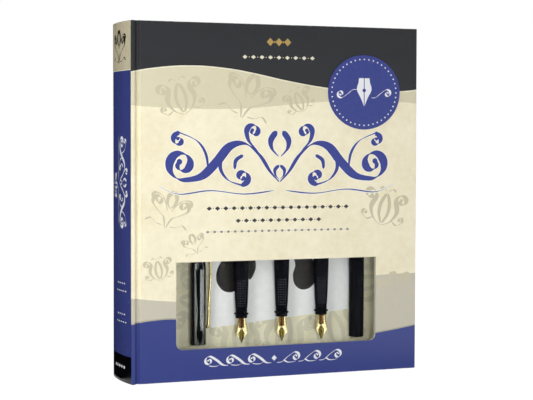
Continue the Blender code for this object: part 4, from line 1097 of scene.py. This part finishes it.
# White field on the card behind the pens: its corners, and the right half of a mirrored brush
# ornament as outlines, each from its pointed end round
CARD_FIELD = ((-49.1, 38.5), (70.4, 49.0), (74.5, 118.0), (-49.1, 118.0))
BRUSH_MIDDLE = -1.0
BRUSH_DROPS = (
    ((5, 107), (19, 105), (33, 98), (42, 87), (43.5, 76), (38, 68), (30, 66.5), (24, 71), (22.5, 79),
     (24.5, 87), (21, 95), (13, 101)),
    ((12, 96), (17, 90), (18.5, 83), (15, 76), (10.5, 83), (10, 90)),
    ((45, 99), (54, 101.5), (66, 97), (56, 94)),
)
CARD_SCROLLS = (((-24, 28), 1.05, 10), ((14, 30), 1.1, -12), ((60, 33), 1.1, 16), ((-62, 60), 1.0, 80),
                ((88, 70), 1.0, -80), ((-66, 99), 0.75, 20), ((93, 99), 0.75, -20))


# The field lies over the scrolls' ink, the brush ornament over the field
CARD_FIELD_LEVEL = len(LYRE) + 2
BRUSH_LEVEL = CARD_FIELD_LEVEL + 5


def make_card_print():
    """Prints on the card behind the pens."""
    with printed("card_scrolls", CARD_SCROLL_INK, "case", "printed_card") as bm:
        for middle, scale, turn in CARD_SCROLLS:
            ornament(bm, LYRE, middle, on_card, scale=scale, turn=turn)
    with printed("card_field", WHITE_PANEL, "case", "printed_card") as bm:
        lay_patch(bm, CARD_FIELD, on_card, CARD_FIELD_LEVEL)
    with printed("card_brush_drops", BRUSH_INK, "case", "printed_card") as bm:
        for drop in BRUSH_DROPS:
            for side in (1, -1):
                outline = smooth_path([(BRUSH_MIDDLE + side * x, y) for x, y in (*drop, drop[0])])
                lay_patch(bm, outline[:-1], on_card, BRUSH_LEVEL)


def node_seat(name):
    """Middle of a node's footprint, at its lowest point, and its height in millimetres."""
    low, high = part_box(name)
    return Vector(((low.x + high.x) / 2, (low.y + high.y) / 2, low.z)), (high.z - low.z) / MM


# Cap, finial, clip, barrel, sections and feeds, in millimetres, beside the profiles' own points
CAP_RADIUS = 6.5
CAP_BORE = 5.7
CAP_END = 5.0
CAP_CROWN = 5.9
DOME_RADIUS = 5.9
DOME_STEPS = 16
STEM_RADIUS = 2.0
STEM_HEIGHT = 3.0
STEM_BORE = 2.3
STEM_BORE_DEPTH = 2.7
CLIP_RING_HALF = 0.45
CLIP_RING_RADIUS = 6.2
CLIP_RING_EASE = 0.1
CLIP_BALL = 1.6
CLIP_WIRE = (1.3, 2.6)
# The clip's arm starts under the finial and runs clear of the cap: by its bow at the top, by its waist
# near the end, and by its kick at the ball. The crook and the bend are shares of its length.
CLIP_START = 5.2
CLIP_CLEAR = 6.8
CLIP_BOW = 3.8
CLIP_WAIST = 2.0
CLIP_KICK = 1.3
CLIP_CROOK_SHARE = 0.12
CLIP_BEND_SHARE = 0.8
CLIP_STEPS = 48
BALL_STEPS = 12
BARREL_RADIUS = 6.3
BARREL_TAPER = 0.3
BARREL_BORE = 5.0
BARREL_BORE_DEPTH = 12.0
BARREL_GROOVE_DROP = 7.5
BARREL_GROOVE_RADIUS = 6.05
GRIP_WAIST = 4.6
GRIP_FLARE = 1.65
GRIP_FOOT = 6.4
GRIP_RUN = 39.6
GRIP_STEPS = 24
THREAD_FOOT = 51.0
THREAD_PITCH = 12.5 / 9
THREAD_COUNT = 8
THREAD_CREST = 4.9
STUD_MIDDLE = 19.95
STUD_WRAP_RADIUS = 5.2
FEED_RADIUS = 3.2
FEED_ROOT = 2.6
FEED_FOOT = 3.0
FEED_PITCH = 0.95
FEED_FINS = 12
FEED_TAIL = 14.5


def make_cap():
    """Pen cap, tapered to its closed end where the finial sits, its domed finial and its clip."""
    seat, top = node_seat("pen_cap")
    floor, stem_floor = top - CAP_END, top - STEM_BORE_DEPTH
    profile = [(0.0, floor), (CAP_BORE, floor), (CAP_BORE, 0.0), (CAP_RADIUS, 0.0),
               (CAP_RADIUS, top - CAP_CROWN), (DOME_RADIUS, top), (STEM_BORE, top), (STEM_BORE, stem_floor),
               (0.0, stem_floor)]
    profile = rounded(profile, {3: 0.35, 4: 14.0, 5: 0.3})
    turned_piece("cap_shell", profile, seat, GLOSS, "pen_cap")
    stem_seat, height = node_seat("cap_finial")
    rise = height - STEM_HEIGHT
    profile = [(0.0, 0.0), (STEM_RADIUS, 0.0), (STEM_RADIUS, STEM_HEIGHT), (DOME_RADIUS, STEM_HEIGHT)]
    for i in range(1, DOME_STEPS):
        angle = math.pi / 2 * i / DOME_STEPS
        profile.append((DOME_RADIUS * math.cos(angle), STEM_HEIGHT + rise * math.sin(angle)))
    profile = [*rounded(profile, {3: 0.2}), (0.0, STEM_HEIGHT + rise)]
    turned_piece("cap_finial_dome", profile, stem_seat, GLOSS, "cap_finial")
    make_clip(seat)


def make_clip(seat):
    """Clip: a ring under the finial, an arm bowed down beside the cap, a ball at its tip."""
    low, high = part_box("cap_clip")
    ring, ball = (high.z - seat.z) / MM - CLIP_RING_HALF, (low.z - seat.z) / MM + CLIP_BALL
    bowed = CLIP_CLEAR + CLIP_BOW
    path = []
    for i in range(CLIP_STEPS + 1):
        share = i / CLIP_STEPS
        run = (share - CLIP_CROOK_SHARE) / (1 - CLIP_CROOK_SHARE)
        height = ring - (ring - ball) * share
        if run < 0:
            turn = share / CLIP_CROOK_SHARE
            out = CLIP_START + (bowed - CLIP_START) * math.sin(math.pi / 2 * turn)
            height = ring - (ring - ball) * CLIP_CROOK_SHARE * turn ** 3
        else:
            closing = math.sin(math.pi / 2 * min(run / CLIP_BEND_SHARE, 1.0)) ** 2
            out = bowed + (CLIP_WAIST - CLIP_BOW) * closing
            kick = max(0.0, (run - CLIP_BEND_SHARE) / (1 - CLIP_BEND_SHARE))
            out += (CLIP_CLEAR + CLIP_KICK - out) * kick ** 2
        path.append(seat + Vector((out, 0.0, height)) * MM)
    bm = bmesh.new()
    sweep(bm, path, oval(*(size * MM for size in CLIP_WIRE)), Vector((0.0, 1.0, 0.0)))
    angles = [math.pi * i / BALL_STEPS for i in range(1, BALL_STEPS)]
    round_side = [(CLIP_BALL * math.sin(a), -CLIP_BALL * math.cos(a)) for a in angles]
    turned(bm, [(0.0, -CLIP_BALL), *round_side, (0.0, CLIP_BALL)], path[-1], 32)
    under, over, eased = ring - CLIP_RING_HALF, ring + CLIP_RING_HALF, CLIP_RING_RADIUS - CLIP_RING_EASE
    turned(bm, [(STEM_BORE, under), (eased, under), (CLIP_RING_RADIUS, ring), (eased, over),
                (STEM_BORE, over)], seat)
    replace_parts(piece("cap_clip_arm", bm, GOLD, "case"), "cap_clip")


def make_barrel():
    """Pen barrel: slightly tapered, its closed end rounded, with a fine groove under its mouth."""
    seat, top = node_seat("pen_barrel")
    groove = top - BARREL_GROOVE_DROP
    profile = [(0.0, 0.0), (BARREL_RADIUS - BARREL_TAPER, 0.0), (BARREL_RADIUS - 0.03, groove),
               (BARREL_GROOVE_RADIUS, groove + 0.2), (BARREL_GROOVE_RADIUS, groove + 0.5),
               (BARREL_RADIUS - 0.02, groove + 0.7), (BARREL_RADIUS, top), (BARREL_BORE, top),
               (BARREL_BORE, top - BARREL_BORE_DEPTH), (0.0, top - BARREL_BORE_DEPTH)]
    turned_piece("barrel_tube", rounded(profile, {1: 0.9, 6: 0.3}), seat, MATT, "pen_barrel")


def grip_radius(height):
    """Radius of the grip section's taper at a height over its lip, in millimetres."""
    share = (height - GRIP_FOOT) / GRIP_RUN
    return GRIP_WAIST + GRIP_FLARE * max(share, 0.0) ** 0.62


def section_profile():
    """Grip section from its lip up: bored nose, flared ring, neck bead, hollow taper, collar, threads."""
    waist = GRIP_WAIST
    points = [(0.0, 12.5), (4.15, 12.5), (4.15, 0.0), (4.7, 0.0), (4.7, 2.3), (5.75, 3.0), (5.75, 3.9),
              (waist, 4.5), (waist, 5.3), (4.9, 5.6), (4.9, 6.1), (waist, GRIP_FOOT)]
    profile = rounded(points, {3: 0.35, 4: 0.3, 5: 0.2, 6: 0.2, 7: 0.2, 9: 0.15, 10: 0.15})
    heights = [GRIP_FOOT + GRIP_RUN * i / GRIP_STEPS for i in range(1, GRIP_STEPS + 1)]
    profile += [(grip_radius(height), height) for height in heights]
    profile += [(6.25, 46.6), (6.25, 50.6), (5.9, THREAD_FOOT), (waist, THREAD_FOOT)]
    for i in range(THREAD_COUNT):
        base = THREAD_FOOT + THREAD_PITCH * (i + 0.4)
        profile += [(waist, base), (THREAD_CREST, base + THREAD_PITCH / 3),
                    (waist, base + THREAD_PITCH * 2 / 3)]
    return [*profile, (waist, 63.2), (4.3, 63.5), (3.9, 63.5), (3.9, 53.5), (0.0, 53.5)]


def make_nib(number, seat, tip):
    """Nib: a rolled gold sheet with hollow shoulders, slit from its tip to the breather hole."""
    bm = bmesh.new()
    uv = bm.loops.layers.uv.new("UVMap")
    hole = [NIB_HOLE_HEIGHT - NIB_HOLE * math.cos(math.pi * i / 12) for i in range(13)]
    below = [hole[0] * i / NIB_ROWS_BELOW for i in range(NIB_ROWS_BELOW)]
    above = [hole[-1] + (NIB_LENGTH - hole[-1]) * i / NIB_ROWS_ABOVE for i in range(1, NIB_ROWS_ABOVE + 1)]
    marks = {}
    rows = []
    for height in below + hole + above:
        half = tip / 2 + (NIB_BLANK - tip) / 2 * min(height / NIB_SHOULDER, 1.0) ** 1.6
        opened = min(max((NIB_VISIBLE - height) / (NIB_VISIBLE - NIB_SHOULDER), 0.0), 1.0)
        radius = NIB_ROLL + (NIB_OPEN_ROLL - NIB_ROLL) * opened ** 2
        off = height - NIB_HOLE_HEIGHT
        gap = max(NIB_SLIT / 2, math.sqrt(max(NIB_HOLE ** 2 - off ** 2, 0.0)))
        whole = off > NIB_HOLE * 0.99
        sides = []
        for side in (1, -1):
            run = []
            for i in range(NIB_COLUMNS + 1):
                if i == 0 and whole and sides:
                    run.append(sides[0][0])
                    continue
                start = 0.0 if whole else gap
                width = start + (half - start) * i / NIB_COLUMNS
                angle = side * width / radius
                run.append(bm.verts.new((radius * math.sin(angle), radius * (1 - math.cos(angle)) - NIB_ROLL,
                                         height)))
                marks[run[-1]] = (0.5 + side * width / half / 2, height / NIB_MAP_HEIGHT)
            sides.append(run)
        rows.append(sides)
    for first, second in zip(rows, rows[1:]):
        for a, b in zip(first, second):
            for i in range(NIB_COLUMNS):
                face = bm.faces.new((a[i], a[i + 1], b[i + 1], b[i]))
                for loop in face.loops:
                    loop[uv].uv = marks[loop.vert]
    bmesh.ops.rotate(bm, cent=(0.0, 0.0, 0.0), matrix=Matrix.Rotation(NIB_TURN, 3, "Z"), verts=bm.verts)
    bmesh.ops.translate(bm, vec=seat, verts=bm.verts)
    nib = piece(f"nib_sheet_{number}", bm, NIB_GOLD, "case")
    sheet = nib.modifiers.new("sheet", "SOLIDIFY")
    sheet.thickness = NIB_SHEET
    sheet.offset = 0.0
    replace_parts(nib, f"nib_{number}")


def make_feed(number):
    """Feed: a tapered nose, fine comb fins and the plain tail in the section."""
    seat, height = node_seat(f"feed_{number}")
    profile = [(0.0, 0.0), (0.7, 0.0), (1.1, 0.4), (3.1, 2.8)]
    fin = FEED_PITCH / 2
    for i in range(FEED_FINS):
        low = FEED_FOOT + FEED_PITCH * i
        profile += [(FEED_RADIUS, low), (FEED_RADIUS, low + fin), (FEED_ROOT, low + fin),
                    (FEED_ROOT, low + FEED_PITCH)]
    profile += [(FEED_RADIUS, FEED_TAIL), (FEED_RADIUS, height), (0.0, height)]
    turned_piece(f"feed_comb_{number}", profile, seat, GLOSS, f"feed_{number}", 48)


def make_nib_units():
    """Grip sections with their grip studs, nibs and feeds."""
    for number, tip in enumerate(NIB_TIPS, start=1):
        node = f"grip_section_{number}"
        seat, _ = node_seat(node)
        turned_piece(f"grip_{number}", section_profile(), seat, SECTION, node)

        def round_grip(x, y, z, seat=seat):
            height = STUD_MIDDLE + y
            angle = x / STUD_WRAP_RADIUS + NIB_TURN
            radius = grip_radius(height) + z
            return seat + Vector((radius * math.sin(angle), -radius * math.cos(angle), height)) * MM

        bm = bmesh.new()
        lay_grown(bm, STUD_FIELD, {}, round_grip)
        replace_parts(piece(f"grip_studs_{number}", bm, PAINTED_HIGHLIGHT_STUD, "case"), node)
        make_nib(number, seat - Vector((0.0, 0.0, NIB_VISIBLE)), tip)
        make_feed(number)


def make_inside():
    """Prints and finishes of what lies inside."""
    with printed("book_print", WHITE_INK, "case", "book_cover_card") as bm:
        ornament(bm, TITLE_FLOURISH, (0.0, 30.0), on_book, scale=0.78)
        ornament(bm, FLEURON, (0.0, -38.0), on_book, scale=1.4)
        row_of_lozenges(bm, (0.0, -4.0), on_book, 13, 8.0, 4.6, 3.6)
    with printed("carton_print", BLUE_INK, "case", "printed_card") as bm:
        row_of_lozenges(bm, (0.0, 7.0), on_carton, 5, 6.4, 4.4, 4.0)
        ornament(bm, FLEURON, (0.0, -4.5), on_carton, scale=0.55)
    paint("front_cover back_cover", WRAP)
    paint("front_lining", LINING)
    paint("tray_floor tray_wall_bottom tray_wall_top tray_wall_spine tray_wall_fore", TRAY)
    paint("insert_card cartridge_carton", CARD)
    paint("window_film", FILM)
    paint("pen_blister", BLISTER)
    # Clear sheets let all light through to the card as it is
    for name in ("window_film", "pen_blister"):
        nodes[name].visible_shadow = False
        nodes[name].visible_diffuse = False
    paint("round_label book_cover", LABEL_INK)
    paint("book_pages practice_sheets", LEAVES)
    paint("pad_backing", GREYBOARD)
    paint("cap_liner", MATT)
    paint("lower_staple upper_staple", STEEL)
    paint("ink_cartridge_1 ink_cartridge_2 ink_cartridge_3 ink_cartridge_4 ink_cartridge_5", CARTRIDGE)


def seen_share(tree, share):
    """A share for camera, glossy and transmission rays, and 0 for the light on the object."""
    path = add(tree, "ShaderNodeLightPath").outputs
    rays = sum_up(tree, "MAXIMUM", path["Is Camera Ray"], path["Is Glossy Ray"])
    return sum_up(tree, "MULTIPLY", sum_up(tree, "MAXIMUM", rays, path["Is Transmission Ray"]), share)


def make_gloss_cards():
    """Black flags, pale cards and a light strip, as a photographer sets them round shiny things."""
    for name, corners, radiance in GLOSS_CARDS:
        mesh = bpy.data.meshes.new(name)
        mesh.from_pydata(corners, [], [(0, 1, 2, 3)])
        made, tree = new_material(name)
        light = add(tree, "ShaderNodeEmission", {"Color": srgb("#FFFFFF"), "Strength": radiance})
        add(tree, "ShaderNodeOutputMaterial", {"Surface": light.outputs[0]})
        mesh.materials.append(made)
        card = placed(name, mesh)
        for ray in ("camera", "diffuse", "transmission", "shadow", "volume_scatter"):
            setattr(card, f"visible_{ray}", False)


# Size of the floor in metres, how bright it is where it is seen, and how far that hides its shadows
FLOOR_SIZE = 6.0
FLOOR_RADIANCE = 1.14
FLOOR_SEEN_SHARE = 0.86


def make_stage():
    """White floor that keeps the shadow, white surroundings, and soft lamps."""
    bm = bmesh.new()
    bmesh.ops.create_grid(bm, x_segments=1, y_segments=1, size=FLOOR_SIZE)
    mesh = bpy.data.meshes.new("floor")
    bm.to_mesh(mesh)
    bm.free()
    floor = placed("floor", mesh)
    made, tree = new_material("white studio floor")
    matt = add(tree, "ShaderNodeBsdfDiffuse", {"Color": srgb("#F2F2F2")}).outputs[0]
    seen = add(tree, "ShaderNodeEmission", {"Color": srgb("#FFFFFF"), "Strength": FLOOR_RADIANCE}).outputs[0]
    share = seen_share(tree, FLOOR_SEEN_SHARE)
    mixed = add(tree, "ShaderNodeMixShader", {0: share, 1: matt, 2: seen}).outputs[0]
    add(tree, "ShaderNodeOutputMaterial", {"Surface": mixed})
    mesh.materials.append(made)

    world = bpy.data.worlds.new("studio")
    bpy.context.scene.world = world
    world.use_nodes = True
    tree = world.node_tree
    tree.nodes.clear()
    strength = add(tree, "ShaderNodeMapRange", {"Value": seen_share(tree, 1.0), "To Min": AMBIENT,
                                                "To Max": 1.0}).outputs[0]
    back = add(tree, "ShaderNodeBackground", {"Color": srgb("#FFFFFF"), "Strength": strength})
    add(tree, "ShaderNodeOutputWorld", {"Surface": back.outputs[0]})

    for name, place, aim, size, power, glossy in LAMPS:
        data = bpy.data.lights.new(name, "AREA")
        data.shape = "RECTANGLE"
        data.size, data.size_y = size
        data.energy = power
        lamp = placed(name, data)
        lamp.visible_glossy = glossy
        lamp.location = place
        lamp.rotation_euler = (Vector(aim) - Vector(place)).to_track_quat("-Z", "Y").to_euler()


def make_camera():
    """Camera at the photograph's place, with its principal point in the middle and no shift."""
    yaw, pitch, roll = (math.radians(angle) for angle in (CAMERA_YAW, CAMERA_PITCH, CAMERA_ROLL))
    ahead = Vector((math.sin(yaw) * math.cos(pitch), math.cos(yaw) * math.cos(pitch), math.sin(pitch)))
    level = Vector((math.cos(yaw), -math.sin(yaw), 0.0))
    right = level * math.cos(roll) + level.cross(ahead) * math.sin(roll)
    up = right.cross(ahead)
    data = bpy.data.cameras.new("camera")
    data.sensor_width = SENSOR_WIDTH
    data.lens = FOCAL_PIXELS * SENSOR_WIDTH / PHOTO_WIDTH
    data.clip_start = 0.05
    camera = placed("camera", data)
    turn = Matrix((right, up, -ahead)).transposed().to_4x4()
    camera.matrix_world = Matrix.Translation(CAMERA_PLACE) @ turn
    bpy.context.scene.camera = camera


make_camera()
make_stage()
make_gloss_cards()
make_spine()
make_grooves()
make_front_print()
make_label_print()
make_spine_print()
make_card_print()
make_cap()
make_barrel()
make_nib_units()
make_inside()
bpy.context.scene.view_settings.view_transform = "Standard"
